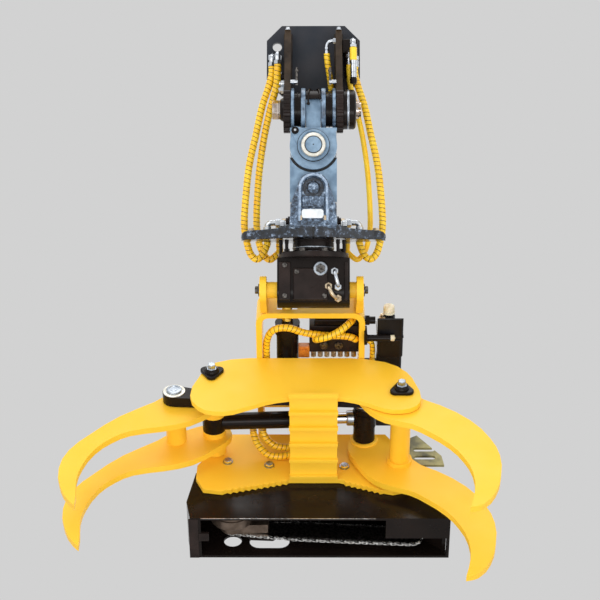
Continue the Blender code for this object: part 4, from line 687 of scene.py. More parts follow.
# Two retaining hooks that come over the hub and end in a round knob
for name, x, tip in (("hookLeft", -11.8, -129), ("hookRight", 14.8, -116)):
    wire = bentTube([(x * 0.6, -112, -89), (x * 0.8, -128, -91.5), (x, -144, -104), (x, -151, tip + 6),
                     (x, -151.5, tip)], 30, 2.1, 12)
    knob = turnedRod((x, -151.5, tip + 3), "-z", [(0, 2.4), (1.2, 4.0), (5.2, 4.0), (6.6, 2.6)], 20)
    onLink(joined([wire, knob]), name, "black")

# Swing pin: dark bosses outside the ears, a plain nut on the left and a slotted nut on the right
pinBody = turnedRod(hubAt(-77.5), "x", [(0, 19), (1.0, 24), (5.0, 26.5), (8.0, 27.5), (9.3, 27.5), (9.5, 15),
                                        (145.6, 15), (145.8, 44.5), (147.5, 46), (170.0, 46), (173.5, 44), (176.0, 39)],
                    72)
onBracket(pinBody, "swingPinBosses", "black", "swing_pin")
pinBand = turnedRod(hubAt(78), "x", [(0, 46.4), (1.2, 46.9), (3.4, 46.9), (4.6, 46.4)], 72)
onBracket(pinBand, "swingPinBand", "turned")
nutLeft = hexRod(hubAt(-95.5), "x", [(0, 17), (0.1, 20.5), (1.6, 22.6), (15.5, 22.6), (16.2, 21.5), (18.3, 24.2)],
                 1.2, 2)
carve(nutLeft, turnedRod(hubAt(-99), "x", [(0, 13), (9, 13)], 32))
stub = turnedRod(hubAt(-93.8), "x", [(0, 10.5), (1.2, 12.2), (12, 12.2)], 32)
onBracket(joined([nutLeft, stub]), "swingNutLeft", "nickel", "swing_pin")
nutRight = turnedRod(hubAt(98), "x", [(0, 21), (7.0, 21), (8.0, 20), (8.1, 17.8), (12.3, 17.8)], 24)
for k in range(3):
    slot = blockBetween((-2.5, -30, 0), (2.5, 30, 6))
    slot.matrix_world = (Matrix.Translation(mm(*hubAt(106.6))) @ Matrix.Rotation(pi / 6 * k, 4, "X")
                         @ Matrix.Rotation(pi / 2, 4, "Y"))
    carve(nutRight, applyAll(slot))
onBracket(softenEdges(nutRight, 0.6, 1), "swingNutRight", "nickel", "swing_pin")

# Beside each spool a bright stop bar out of the ear with a dark set screw; bolts and welds hold the ear to the plate
for side, word in ((-1, "Left"), (1, "Right")):
    bar = turnedRod((side * 53, -126, -73.5), (-side, 0, 0), [(0, 4.6), (15.5, 4.6), (16.8, 3.6)], 20)
    onBracket(bar, "stopBar" + word, "zinc")
    screw = turnedRod((side * 38.5, -126, -80), "z", [(0, 3.2), (30, 3.2), (30.1, 4.6), (34, 4.6), (34.1, 2.6),
                                                      (40, 2.2)], 18)
    onBracket(screw, "stopScrew" + word, "oiled")
    heads = boltHeads([(side * 60, -42, 65), (side * 60, -56, 65)], "z", 10, 6, 12)
    onBracket(heads, "earTopBolts" + word, "zinc")
    for x, which in ((67.5, "Outer"), (52.5, "Inner")):
        weld = turnedRod((side * x, -15.8, -80), "z", [(0, 2.6), (144, 2.6)], 12)
        onBracket(softenEdges(weld, 1.0, 2, 35), "earWeld" + word + which, "ear")

# Keeper bolt on the cross link's front
keeper = turnedRod((-41.5, -178.8, -195.5), "-y", [(0, 8.6), (1.4, 8.6), (1.5, 6.4), (6.0, 6.4), (7.0, 5.6),
                                                   (7.1, 3.0), (4.4, 3.0)], 28)
onLink(keeper, "keeperBolt", "black")
onLink(turnedRod((-41.5, -183, -195.5), "-y", [(0, 2.9), (3.2, 2.9)], 6), "keeperBoltSocket", "zinc")

# Cross pin: each row is y of its start, its steps, sides, name, finish and node, one inside the other
crossPin = {
    "z": -229, "crown": (25.5, 27.948, 24),
    "rings": (
        (-170, [(0, 36), (9, 36), (10.6, 34.4), (10.7, 31), (9, 30.2), (9.1, 29)], 72, "Collar", "link", "cross_pin"),
        # the dark ring round the collar is painted shadow
        (-172, [(0, 37.4), (3.4, 37.4), (3.5, 36.2)], 72, "Seal", "rubber"),
        (-176, [(0, 27.2), (9.6, 27.2), (11.2, 25.8), (11.4, 20.6), (9.8, 19.8), (9.9, 19)], 64, "RingNut", "cream",
         "cross_pin"),
        (-178, [(0, 20.2), (7.9, 20.2), (8.1, 17.4)], 56, "Groove", "rubber"),
        (-35, [(0, 15), (3, 22), (18, 22.5), (120, 18.2), (152.4, 18.2), (153.2, 17.4)], 56, "End", "link",
         "cross_pin"),
        (-186, [(0, 1.7), (2.3, 1.7), (2.5, 1.3)], 14, "Centre", "rubber"),
    ),
}
for y, steps, sides, word, look, *node in crossPin["rings"]:
    onLink(turnedRod((0, y, crossPin["z"]), "-y", steps, sides), "crossPin" + word, look, *node)
    if word == "RingNut":
        crown = toothed((0, crossPin["z"]), *crossPin["crown"], (0.0, 0.2, 0.7, 0.9))
        onLink(softPlate(crown, -184, -177, "XZ", 0.4, 1), "crossPinCrown", "brassy", "cross_pin")

# Lower link: its front is dished round the cross pin, so the cross link's round end turns in a dark gap
lowerLink = softenedNode("lower_link", "link", 1.2)
carve(lowerLink, turnedRod((0, -157.5, crossPin["z"]), "-y", [(0, 60.5), (12, 60.5)], 72))
onHead(lowerLink, "lowerLinkShell", "link")
gapLine = [(-52.8, -255), (-52.8, -252), *arcPoints((0, crossPin["z"]), 59.8, 206, 334, 20), (52.8, -252), (52.8, -255)]
# a black sheet in the gap round the cross link's end: painted shade
onHead(cutPlate(gapLine, -158, -154.5, "XZ"), "linkGapSeal", "rubber")
print("stage: hub and cross pin modelled")

# Hose fittings on the ears. Right: a ferrule and a nut above each hose
for which, radius in (("outer", hoseSet["thick"]), ("inner", hoseSet["thin"])):
    x, y, _ = hoseSet[which][0]
    ferrule = turnedRod((x, y, -21.5), "z", [(0, radius + 0.8), (0.8, radius + 1.4), (5.0, radius + 1.4),
                        (5.4, radius + 0.6), (8.0, radius + 0.6), (8.4, radius + 1.4), (13.5, radius + 1.4),
                        (14.0, radius - 1.0), (17, radius - 1.0)], 28)
    onBracket(ferrule, which + "BulkheadRightFerrule", "zinc", "hose_bulkhead_right")
    nut = hexRod((x, y, -5), "z", [(0, radius + 1.0), (0.8, radius + 2.2), (8.4, radius + 2.2), (9.2, radius + 1.2),
                                   (9.4, radius - 2), (13, radius - 2)], 0.4)
    onBracket(nut, which + "BulkheadRightNut", "zinc", "hose_bulkhead_right")
# the valve plate that the hoses screw into, with an elbow and a coupling in front of it
coupling = (93.6, -83.5)
onBracket(softBlock((68, -60, 9), (104, -18, 42), 2.2, 3), "bulkheadBlockRight", "black", "hose_bulkhead_right")
drum = turnedRod((86, -56, 12), "-z", [(0, 12), (2, 14), (60, 14), (64, 12)], 32)
onBracket(drum, "bulkheadDrumRight", "black", "hose_bulkhead_right")
elbow = bentTube([(93, -56, 35), (93.2, -70, 35.2), (93.5, -80, 31), (93.6, -83.5, 22), (93.6, -83.5, 16)], 24, 5.4)
elbowNut = turnedRod((93.1, -59, 35), (0, -11, 0.2), [(0, 8.0), (7, 8.0), (8, 7.2)], 6)
lowerNut = turnedRod((*coupling, 24.5), "-z", [(0, 7.2), (0.8, 8.2), (7.0, 8.2), (8.0, 7.2)], 6)
onBracket(joined([elbow, elbowNut, lowerNut]), "couplingElbowRight", "zinc", "hose_bulkhead_right")
for z, steps, sides, word, look, *node in (
        (16.5, [(0, 7.0), (0.8, 8.2), (30, 8.2), (31, 7.2)], 28, "Sleeve", "sheath"),
        (-12, [(0, 6.4), (0.8, 7.4), (10, 7.4), (10.6, 6.2), (15, 6.2), (15.6, 7.6), (30, 7.6), (30.6, 6.6), (33, 6.6),
               (33.6, 7.8), (43, 7.8), (44, 6.4), (45, 6.4)], 32, "Body", "zinc", "hose_bulkhead_right"),
        (-56, [(0, 7.0), (0.6, 8.2), (12, 8.2), (14, 6.8), (14.1, 5.0), (10, 4.8)], 32, "Cap", "black")):
    onBracket(turnedRod((*coupling, z), "-z", steps, sides), "coupling" + word + "Right", look, *node)
# left: elbows that turn straight back into the plate
for letter, which in (("A", "outer"), ("B", "inner")):
    x, y, _ = hoseSet[which][0]
    x = -x
    bend = bentTube([(x, y, -12), (x, y, -4), (x, y + 3, 3), (x, y + 10, 6), (x, -15.5, 6)], 24, 6.4)
    foot = turnedRod((x, -15, 6), "-y", [(0, 10.4), (6, 10.4), (7, 9.2)], 6)
    collar = turnedRod((x, y, -20), "z", [(0, 8.8), (0.8, 10.0), (9, 10.0), (10, 8.6)], 6)
    onBracket(joined([bend, foot, collar]), "bulkheadElbowLeft" + letter, "zinc", "hose_bulkhead_left")
# lower left fittings, seen beside the ear above the friction ring
for letter, z, radius, sides, look in (("A", -48, 7.5, 6, "black"), ("B", -64, 8.5, 24, "zinc"),
                                       ("C", -79, 9.5, 6, "zinc")):
    part = turnedRod((-67, -62, z), "-x", [(0, radius), (9, radius), (10, radius - 1), (10.1, radius - 3),
                                           (14, radius - 3), (15, radius - 4)], sides)
    onBracket(part, "earFittingLeft" + letter, look, slot="bright_steel")
# inner elbow on the right ear and the short hose that drops behind the spool
bend = bentTube([(52.5, -60, 37), (46, -60, 37.2), (37, -60, 35), (31.8, -60, 28), (30.8, -60, 20)], 24, 3.6, 16)
bendNut = turnedRod((52.8, -60, 37), "-x", [(0, 6.6), (6, 6.6), (6.8, 5.8)], 6)
bendFerrule = turnedRod((30.9, -60, 22.5), (0.7, 0, -20.5), [(0, 4.4), (0.8, 5.4), (6.0, 5.4), (6.6, 4.6), (7, 4.0),
                                                             (9.5, 4.0), (10, 5.6), (17.5, 5.6)], 24)
onBracket(joined([bend, bendNut, bendFerrule]), "innerElbowRight", "zinc")
shortHose("innerHoseShort", "bracket", [(31.6, -60, 6.2), (32.2, -60, -4), (35, -58.5, -25), (39, -52, -48),
                                        (43, -42, -78)], 7.2, 60)
print("stage: fittings modelled")

# Rotator housing: arched casting with a raised rim, and a swept wing that guides the hoses
yoke = {"pinHeight": -327, "frontDepth": 179.5, "rimRadius": 3.2, "rimFront": -188.5, "rimSeat": -187, "rimDepth": 0.9}


# Upright sides joined over the pin by an arch of the given half width and height
def archOver(sides, half, height, first, last):
    arch = [(half * cos(radians(a)), yoke["pinHeight"] + height * sin(radians(a))) for a in range(first, last, 12)]
    return sides + arch + [(-x, z) for x, z in reversed(sides)]


archOutline = archOver([(54, -416), (53.5, -400), (52, -378), (48.5, -356), (43, -342)], 36, 35, 8, 173)
for low, high, word in ((-188, -166.5, "Front"), (-43.5, -20, "Rear")):
    head = cutPlate(archOutline, low, high, "XZ")
    if word == "Front":
        recess = archOver([(27, -399), (27, -327)], 27, 26, 12, 169)
        carve(head, cutPlate(recess, -195, -yoke["frontDepth"], "XZ"))
    onHead(softenEdges(head, 2.6, 3), "yokeArch" + word, "cast", "rotator_yoke")
body = bevelAll(blockBetween((-53, -185, -420), (53, -25, -360.5)), 6)
carve(body, blockBetween((-27, -195, -399), (27, -yoke["frontDepth"], -350)))
onHead(body, "yokeBody", "cast", "rotator_yoke")
rimLine = archOver([(31.5, -403), (31, -380), (30.5, -350)], 30.5, 30, 0, 181)
rim = bentTube([(x, yoke["rimFront"], z) for x, z in rimLine], 90, yoke["rimRadius"], 14)
for vertex in rim.data.vertices:
    vertex.co.y = (yoke["rimSeat"] + (vertex.co.y * 1000 - yoke["rimFront"]) * yoke["rimDepth"]) / 1000
onHead(rim, "yokeRim", "castRim")
# rough boss round the pin, panel below it and the blank name plate on its seat
boss = turnedRod((0, -176, yoke["pinHeight"]), "-y", [(0, 25), (5, 24), (6, 21), (6.2, 15.5), (5, 14), (5.4, 13)], 40)
onHead(boss, "yokePinBoss", "castDark")
onHead(softBlock((-25.5, -185, -369), (25.5, -178, -346), 1.6, 3), "yokePanel", "cast")
outline = []
for x, z, start in ((16.5, -382.5, 0), (-20.5, -382.5, 90), (-20.5, -390.5, 180), (16.5, -390.5, 270)):
    outline += arcPoints((x, z), 6.2, start, start + 90, 6)
onHead(softPlate(outline, -188.2, -186.8, "XZ", 0.4), "blankNamePlate", "white")
onHead(softBlock((-26, -186.9, -399), (25, -179, -374), 1.2), "namePlateSeat", "cast")
for letter, x in (("A", -28.5), ("B", 26.2)):
    onHead(softBlock((x - 3, -189.2, -401), (x + 3, -184, -390.5), 1.0), "namePlateTab" + letter, "brassy")


# The wing's plan: an arc round the middle, its round end, and the same arc on the other side
def wingPlan(side, middleRadius, first, second, steps, endRadius):
    plan = (arcPoints((0, -105), middleRadius, first, second, steps) + arcPoints((143, -105), endRadius, 100, -100, 14)
            + arcPoints((0, -105), middleRadius, -second, -first, steps))
    return [(side * x, y) for x, y in plan]


# The wing's two halves, thick at the middle and swept down to round ends
wingProfile = [(2.2, -438.5), (2.0, -420), (4.5, -410), (9, -404.5), (18, -402.5), (34, -402.5), (44, -404), (56, -409),
               (70, -413.5), (84, -416), (110, -417.5), (148, -418.5), (160, -421), (166.5, -427), (167.5, -434),
               (164, -438.5)]
for side, word in ((-1, "Left"), (1, "Right")):
    half = cutPlate([(side * x, z) for x, z in wingProfile], -187, -23, "XZ")
    plan = [(-2 * side, -210), (-2 * side, 0)] + wingPlan(side, 85, 80, 45, 6, 24.5)
    carve(half, cutPlate(plan, -460, -380), how="INTERSECT")
    onHead(softenEdges(half, 4.8, 4, 25), "yokeWing" + word, "castWing", "rotator_yoke", smooth=60)
    onHead(cutPlate(wingPlan(side, 83.5, 70, 47, 5, 23.5), -439.5, -437.2), "yokeWingLip" + word, "black")
    onHead(boltHeads([(side * 143, -112, -418.5)], "z", 14, 7, 18), "wingBolt" + word, "brassy")
onHead(softPlate([(-3, -438), (3, -438), (3, -412), (-3, -412)], -185, -30, "XZ", 0.5, 1), "wingSeam", "rubber")
print("stage: rotator housing modelled")

# Hose fittings beside the housing: ferrules up from the hoses, elbows in to the housing's side
portSet = {"rise": {"outer": 8, "inner": 14}, "face": 54.5}
for side, word in ((-1, "Left"), (1, "Right")):
    node, outwards = "port_block_" + word.lower(), (side, 0, 0)
    for which in ("outer", "inner"):
        x, y, z = hoseSet[which][-1]
        top, face = z + portSet["rise"][which], portSet["face"]
        radius = hoseSet["thin" if side > 0 and which == "inner" else "thick"]
        ferrule = turnedRod((side * x, y, z - 18), "z",
                            [(0, radius + 0.6), (0.8, radius + 1.3), (8.0, radius + 1.3), (8.4, radius + 0.4),
                             (10.0, radius + 0.4), (10.4, radius + 1.3), (17.0, radius + 1.3), (18.0, radius - 0.5),
                             (20, radius - 1.5)], 28)
        bend = bentTube([(side * x, y, z - 4), (side * x, y, z + 1), (side * (x - 3), y, top - 2),
                         (side * (x - 10), y, top), (side * (face + 4), y, top)], 26, 7.2)
        onHead(joined([ferrule, bend]), which + "PortElbow" + word, "zinc", node)
        nuts = hexRod((side * (face - 2), y, top), outwards, [(0, 12), (8, 12), (9, 10.8), (9.2, 9.2), (13, 9.2),
                                                              (13.2, 11.2), (20, 11.2), (21, 10)])
        onHead(nuts, which + "PortNuts" + word, "brassy", node)
        if which == "outer":
            swivel = hexRod((side * (face + 23), y, top), outwards, [(0, 9.6), (0.8, 11.4), (11, 11.4), (12, 10.2)])
            onHead(swivel, "portSwivel" + word, "zinc", node)
    tee = hexRod((side * 53, -88, -400), outwards, [(0, 12), (7, 12), (8, 10.6), (8.2, 8), (14, 8), (14.2, 10.4),
                                                    (24, 10.4), (25, 9)])
    onHead(tee, "housingTee" + word, "zinc", node)
    plug = turnedRod((side * 53.5, -135, -398), outwards, [(0, 11), (5, 11), (5.2, 8), (9, 8), (10, 7)], 6)
    onHead(plug, "housingPlug" + word, "black")

# Rotor: turning neck, flange with its bolts, and studs up to the housing
rotor = {"y": -105, "boltCircle": 66, "boltCount": 8, "boltHeight": -470}
neck = turnedRod((0, rotor["y"], -439.5), "-z", [(0, 44), (0.2, 47.6), (4, 47.6), (4.4, 46.4), (6.4, 46.4), (6.8, 47.8),
                                                 (24.5, 47.8), (27.5, 50), (28.5, 54), (29.5, 76), (31, 80.5), (38, 82),
                                                 (42.6, 82)], 96)
onRotor(neck, "rotorNeck", "rotorBlack", "rotor_flange", smooth=35)
seam = turnedRod((0, rotor["y"], -456), "-z", [(0, 48.4), (1.0, 48.9), (2.2, 48.9), (3.2, 48.4)], 80)
onRotor(seam, "neckSeam", "turned")
places = [(rotor["boltCircle"] * cos(turn), rotor["y"] + rotor["boltCircle"] * sin(turn), rotor["boltHeight"])
          for turn in (2 * pi * (k + 0.5) / rotor["boltCount"] for k in range(rotor["boltCount"]))]
onRotor(boltHeads(places, "z", 15, 9, 18), "rotorFlangeBolts", "oiled")
for letter, x, y in (("A", -74.5, -133), ("B", -61, -145), ("C", 70, -138), ("D", 56, -148)):
    stud = turnedRod((x, y, -441), "-z", [(0, 3.6), (0.6, 4.6), (10, 4.6), (10.2, 4.0), (32, 4.0)], 18)
    onRotor(stud, "rotorStud" + letter, "black")


# Grapple: places are (across, towards the front, up along the arm pins) before the grapple leans back

def near(u, v, w):
    return (u, -v, w)


def planOf(points):
    return [(u, -v) for u, v in points]


pivots = {"left": (-237, 63), "right": (202, 133), "rodPin": (121, 47), "link": (-325, 89)}

# Retainers: three-cornered keeper with a domed washer and a bright bolt
retainer = {"corners": ((0, 16.5, 90), (15, -8.8, -30), (-15, -8.8, 210)), "cornerRadius": 12.4}
for word, forward in (("Left", 1), ("Right", -1)):
    u, v = pivots[word.lower()]
    name, node = "retainer" + word, "retainer_" + word.lower()
    outline = []
    for x, y, turn in retainer["corners"]:
        outline += [(u + px, -v - forward * py) for px, py in
                    arcPoints((x, y), retainer["cornerRadius"], turn + 60, turn - 60, 8)]
    onFrame(softPlate(outline, -189.7, -181.5, "XY", 2.2, 3), name + "Keeper", "black", node)
    dome = turnedRod(near(u, v, -182), "z", [(0, 17.4), (3.0, 17.0), (6.5, 15.4), (9.0, 12.6)], 40)
    onFrame(dome, name + "Dome", "black", node)
    bolt = hexRod(near(u, v, -174), "z", [(0, 12.4), (1.4, 12.4), (1.6, 9.6), (11.0, 9.6), (12.2, 8.4)], 0.6, 2)
    onFrame(bolt, name + "Bolt", "turned", node)

# Anvil column: a folded channel whose front carries square cross bars
anvil = {"low": -411.7, "top": -176, "bars": (-176.5, -223.5, -266.5, -311.5, -357.5, -404.5)}
face = cutPlate(planOf([(-55, 170), (55, 170), (55, 160.8), (-55, 160.8)]), anvil["low"], anvil["top"])
channel = cutPlate(planOf([(-55, 95), (-45, 95), (-45, 160.6), (45, 160.6), (45, 95), (55, 95), (55, 161.8),
                           (-55, 161.8)]), anvil["low"], -202.3)
onFrame(softenEdges(joined([face, channel]), 1.2), "anvilChannel", "yellow", "anvil_column")
firstBar = softPlate(planOf([(-56.5, 169), (56.5, 169), (56.5, 179), (-56.5, 179)]), -4.5, 4.5, "XY", 0.9)
bars = []
for level in anvil["bars"]:
    bars.append(copyOf(firstBar))
    bars[-1].location.z = level / 1000
bpy.data.objects.remove(firstBar)
onFrame(joined(bars), "anvilBars", "yellow", "anvil_column")

heads = boltHeads([near(u, v, -412.2) for u, v in ((-204, 107), (-105, 121), (73, 126), (150, 160))], "z", 19, 8.5, 24)
onFrame(heads, "bottomPlateBolts", "turned")

# Link pin: dished grey head inside a pale thrust ring
onLeftArm, onRightArm = settler("left_arm", lean=True), settler("right_arm", lean=True)
ring = turnedRod(near(*pivots["link"], -221.5), "z", [(0, 26), (1.8, 26), (2.6, 25), (2.7, 20.6), (2.0, 20), (2.1, 19)],
                 56)
onLeftArm(ring, "linkPinRing", "cream", "link_pin")
head = turnedRod(near(*pivots["link"], -383), "z", [(0, 18.4), (1, 19), (162, 19), (162.1, 18.0), (167.5, 18.0),
                                                    (168.6, 16.6), (168.7, 12.6), (167.4, 12.0), (167.5, 8.0),
                                                    (168.4, 7.6), (168.6, 2)], 48)
onLeftArm(head, "linkPinHead", "turned", "link_pin")
print("stage: plates, column and pins modelled")

# Grip cylinder between the arm pin and the rod pin
onBarrel, onRod = settler("grip_barrel", lean=True), settler("grip_rod", lean=True)
gripSet = {"level": -325, "ports": (("A", 93), ("B", 116)), "hoseRadius": 8.5}
gripStart, gripEnd = [Vector(near(*pivots[key], gripSet["level"])) for key in ("left", "rodPin")]
gripWay = gripEnd - gripStart
tube = turnedRod(gripStart, gripWay, [(16, 15.0), (20, 20.5), (226, 20.5), (226.4, 22.5), (240, 22.5), (240.4, 20.8),
                                      (243, 20.8), (243.4, 22.5), (260, 22.5), (262, 21.0), (262.2, 14.4)], 56)
onBarrel(tube, "gripTube", "black", "grip_barrel")
eye = turnedRod(near(*pivots["left"], -350), "z", [(0, 24.6), (2.4, 27.0), (83.6, 27.0), (86, 24.6)], 56)
onBarrel(eye, "gripBarrelEye", "black", "grip_barrel")
for letter, along in gripSet["ports"]:
    spot = gripStart.lerp(gripEnd, along / gripWay.length) + Vector((0, 0, -18))
    stub = turnedRod(spot, "-z", [(0, 9.5), (6, 9.5), (6.2, 8.2), (14, 8.2)], 6)
    onBarrel(stub, "gripPort" + letter, "zinc", "grip_barrel")
onRod(turnedRod(gripEnd, -gripWay, [(24, 12), (26, 13), (106, 13)], 40), "gripChromeRod", "chrome", "grip_rod")
collar = turnedRod(gripEnd, -gripWay, [(24, 15.5), (26, 18.4), (40, 18.4), (43, 16.2), (43.2, 12)], 40)
onRod(collar, "gripRodCollar", "turned", "grip_rod")
eye = turnedRod(near(*pivots["rodPin"], -345), "z", [(0, 26.6), (1.6, 28.2), (38.4, 28.2), (40, 26.6)], 56)
onRod(eye, "gripRodEye", "black", "grip_rod")
pin = turnedRod(near(*pivots["rodPin"], -404), "z", [(0, 25.2), (1.0, 26), (110.5, 26), (112, 24.6), (112.1, 14),
                                                     (109, 13)], 56)
onRightArm(pin, "rodPinBody", "black", "rod_pin")
collar = turnedRod(near(*pivots["rodPin"], -390.5), "z", [(0, 33.0), (3.4, 33.0), (5.6, 31.0), (6.4, 27)], 48)
onRightArm(collar, "rodPinCollar", "yellow")
gripHoses = {
    "gripHoseFront": (100, [(-144, 58.8, -354), (-143, 62, -362), (-133, 78, -380), (-108, 98, -396), (-78, 100, -400),
                            (-47, 92, -400)]),
    "gripHoseRear": (90, [(-121, 57.8, -354), (-120, 60, -360), (-112, 68, -372), (-92, 78, -385), (-66, 78, -390),
                          (-40, 70, -392)]),
}
for name, (count, stops) in gripHoses.items():
    stops = [near(*stop) for stop in stops]
    shortHose(name, "grip_barrel", stops, gripSet["hoseRadius"], count, "hose_grip", lean=True)
print("stage: grip cylinder modelled")

# Tilt pin, with a washer and a small hexagon head at each end
tiltAxis = (-105, -554)
pinBody = turnedRod((-124.5, *tiltAxis), "x", [(0, 17), (1, 18), (239, 18), (240, 17)], 40)
settle(pinBody, "tiltPinBody", "grapple_frame", "turned", "tilt_pin")
for way, start, word in (("-x", -124, "Left"), ("x", 115, "Right")):
    head = hexRod((start, *tiltAxis), way, [(0, 13.5), (3.0, 13.5), (3.2, 9.0), (10.0, 9.0), (11.0, 7.8)])
    washer = turnedRod((start, *tiltAxis), way, [(-0.5, 15.0), (2.6, 15.0), (3.2, 14.0)], 32)
    settle(joined([head, washer]), "tiltPinHead" + word, "grapple_frame", "oiled", "tilt_pin")

# Tilt head's front: raised panels, a round port and a cluster of fittings
for word, low, high, top in (("Left", -79, -52, -492), ("Middle", -46, 33, -506), ("Right", 70, 79.5, -492)):
    onRotor(bevelAll(blockBetween((low, -152, -580), (high, -140, top)), 3.5), "headPanel" + word, "rotorBlack")
port = turnedRod((16, -150, -508), "-y", [(0, 16), (3, 16), (4, 15), (4.1, 12), (3.0, 11.6)], 40)
onRotor(port, "headPort", "turned")
plug = turnedRod((16, -150, -508), "-y", [(0, 11.4), (4.6, 11.4), (5.4, 10.4)], 6)
onRotor(plug, "headPortPlug", "oiled")
headPipes = {
    "A": ("zinc", [(48, -146, -514), (48, -158, -514), (49, -164, -519), (52, -164, -532), (56, -160, -546),
                   (56, -148, -550)]),
    "B": ("brassy", [(34, -146, -548), (34, -156, -548), (36, -162, -554), (42, -162, -566), (50, -156, -574),
                     (56, -146, -576)]),
}
for letter, (look, stops) in headPipes.items():
    upperNut = turnedRod(stops[0], "-y", [(0, 9.4), (5.5, 9.4), (6.5, 8.2), (6.6, 6.0), (9, 6.0)], 6)
    lowerNut = turnedRod((stops[-1][0], -146, stops[-1][2]), "-y", [(0, 9.0), (5.0, 9.0), (6, 8.0)], 6)
    onRotor(joined([bentTube(stops, 40, 4.4, 14), upperNut, lowerNut]), "headPipe" + letter, look)
for letter, x, z in (("A", -65.5, -500), ("B", -65.5, -570), ("C", -38, -515), ("D", 25, -570)):
    screw = turnedRod((x, -151, z), "-y", [(0, 5.6), (3.6, 5.6), (4.2, 5.0), (4.3, 2.8), (2.2, 2.6)], 24)
    onRotor(screw, "headScrew" + letter, "oiled")
print("stage: tilt head modelled")

# Inside the arch: valve block with its spool caps and row of adapters, connector and three guarded hoses
block = bevelAll(blockBetween((-10, 32, -190), (106.7, 82, -118)), 2.2)
onFrame(block, "valveBlockBody", "rotorBlack", "valve_block")
onFrame(softBlock((2, 36, -119), (106.7, 78, -103), 3, 3), "valveBlockDeck", "black", "valve_block")
for letter, u in (("A", 25), ("B", 60)):
    cap = turnedRod(near(u, -33, -170), "-y", [(0, 10), (5, 10), (6, 9), (6.1, 6.4), (8.5, 6.2), (8.6, 3.4),
                                               (7.0, 3.2)], 32)
    onFrame(cap, "valveSpoolCap" + letter, "oiled")
adapters = {"count": 7, "spacing": 16}
row = [turnedRod(near(adapters["spacing"] * k, -40, -189), "-z",
                 [(0, 7.4), (5, 7.4), (5.6, 6.2), (5.8, 5.0), (9, 5.0), (9.2, 7.0), (16, 7.0), (17, 6.0)], 6)
       for k in range(adapters["count"])]
onFrame(joined(row), "valveAdapters", "brassy")
plug = softBlock((-36, 30, -205), (-9.5, 50, -174), 2, 3)
lock = softBlock((-32, 27, -199), (-16, 31, -181), 0.8)
onFrame(joined([plug, lock]), "valveConnector", "orange")
archHoses = {
    "archHoseLong": (8.5, 200, [(96, -34, -152), (99, -24, -149), (92, -20, -142), (70, -23, -139), (27, -22, -137),
                                (-20, -16.5, -126.5), (-60, -14.5, -111.5), (-93, -15.5, -117.5), (-109.5, -19, -147),
                                (-112, -22, -205), (-112, -24, -260)]),
    "archHoseShort": (8.5, 110, [(6, -30, -148), (5, -16, -144), (15, -5, -136), (40, -4, -127), (66, -12, -115),
                                 (85, -26, -105), (94, -42, -104)]),
    "legHose": (6.5, 80, [(124, -26, -154), (132, -25, -154.5), (139, -24, -164), (140, -24, -195), (138, -26, -235),
                          (133, -30, -265)]),
}
for name, (radius, count, stops) in archHoses.items():
    shortHose(name, "grapple_frame", [near(*stop) for stop in stops], radius, count, lean=True)
nut = turnedRod(near(119, -26, -154), "x", [(0, 8.4), (6, 8.4), (7, 7.2), (7.2, 6.0), (9, 6.0)], 6)
onFrame(nut, "legHoseNut", "brassy")

# Solenoid: a long coil on a bracket at the leg's side, ending in a cream plug
onFrame(softBlock((118.5, -13, -142), (126, 30, -114), 1.2), "solenoidBracket", "black")
coil = turnedRod(near(124, 4, -128), "x", [(0, 9.0), (4, 9.0), (4.6, 8.0), (56, 8.0), (57, 7.0)], 36)
onFrame(coil, "solenoidCoil", "black")
plug = turnedRod(near(180, 4, -128), "x", [(0, 7.4), (8.6, 7.4), (10, 6.2), (10.1, 3), (11.5, 2.6)], 28)
onFrame(plug, "solenoidPlug", "nylon")
print("stage: valve gear modelled")

# Oil tank: rotationally moulded, with a seam, a deeper lower half and a bracket to the arch
tank = bevelAll(blockBetween((150, 6.3, -190), (211, 76.3, -80)), 5, 4)
# its top is cut where it is level once the frame leans back
level = radians(grappleLean["degrees"])
editMesh(tank, (bpy.ops.mesh.bisect, {"plane_co": (0.18, 0.0080, -0.0812), "plane_no": (0, sin(level), cos(level)),
                                      "use_fill": True, "clear_outer": True}))
onFrame(softenEdges(tank, 1.6, 3, 28), "tankUpper", "tank", "oil_tank")
onFrame(bevelAll(blockBetween((150, 38.3, -412), (211, 96.3, -185)), 6, 4), "tankLower", "tank", "oil_tank")
onFrame(softBlock((149, 5.3, -134.5), (212, 77.3, -130.5), 1.2), "tankSeam", "tank")
onFrame(softBlock((156, 4, -188), (205, 8, -139), 1.6, 3), "tankFrontPanel", "black", slot="tank_plastic")
onFrame(softBlock((119.5, 45, -300), (152, 85, -240), 1.4), "tankBracket", "black", "oil_tank", slot="tank_plastic")
neck = turnedRod(near(177, -30, -112), "z", [(0, 15.0), (26.0, 15.0), (26.6, 13.4), (27.0, 10.5), (36, 10.5)], 8)
onFrame(softenEdges(neck, 0.6, 1), "tankNeck", "tank")
breather = hexRod(near(161, -18, -93), "z", [(0, 8.6), (9, 8.6), (10, 7.4), (10.1, 5.4), (17, 5.2), (18, 4.2)], 0.4)
onFrame(breather, "tankBreather", "brassy")
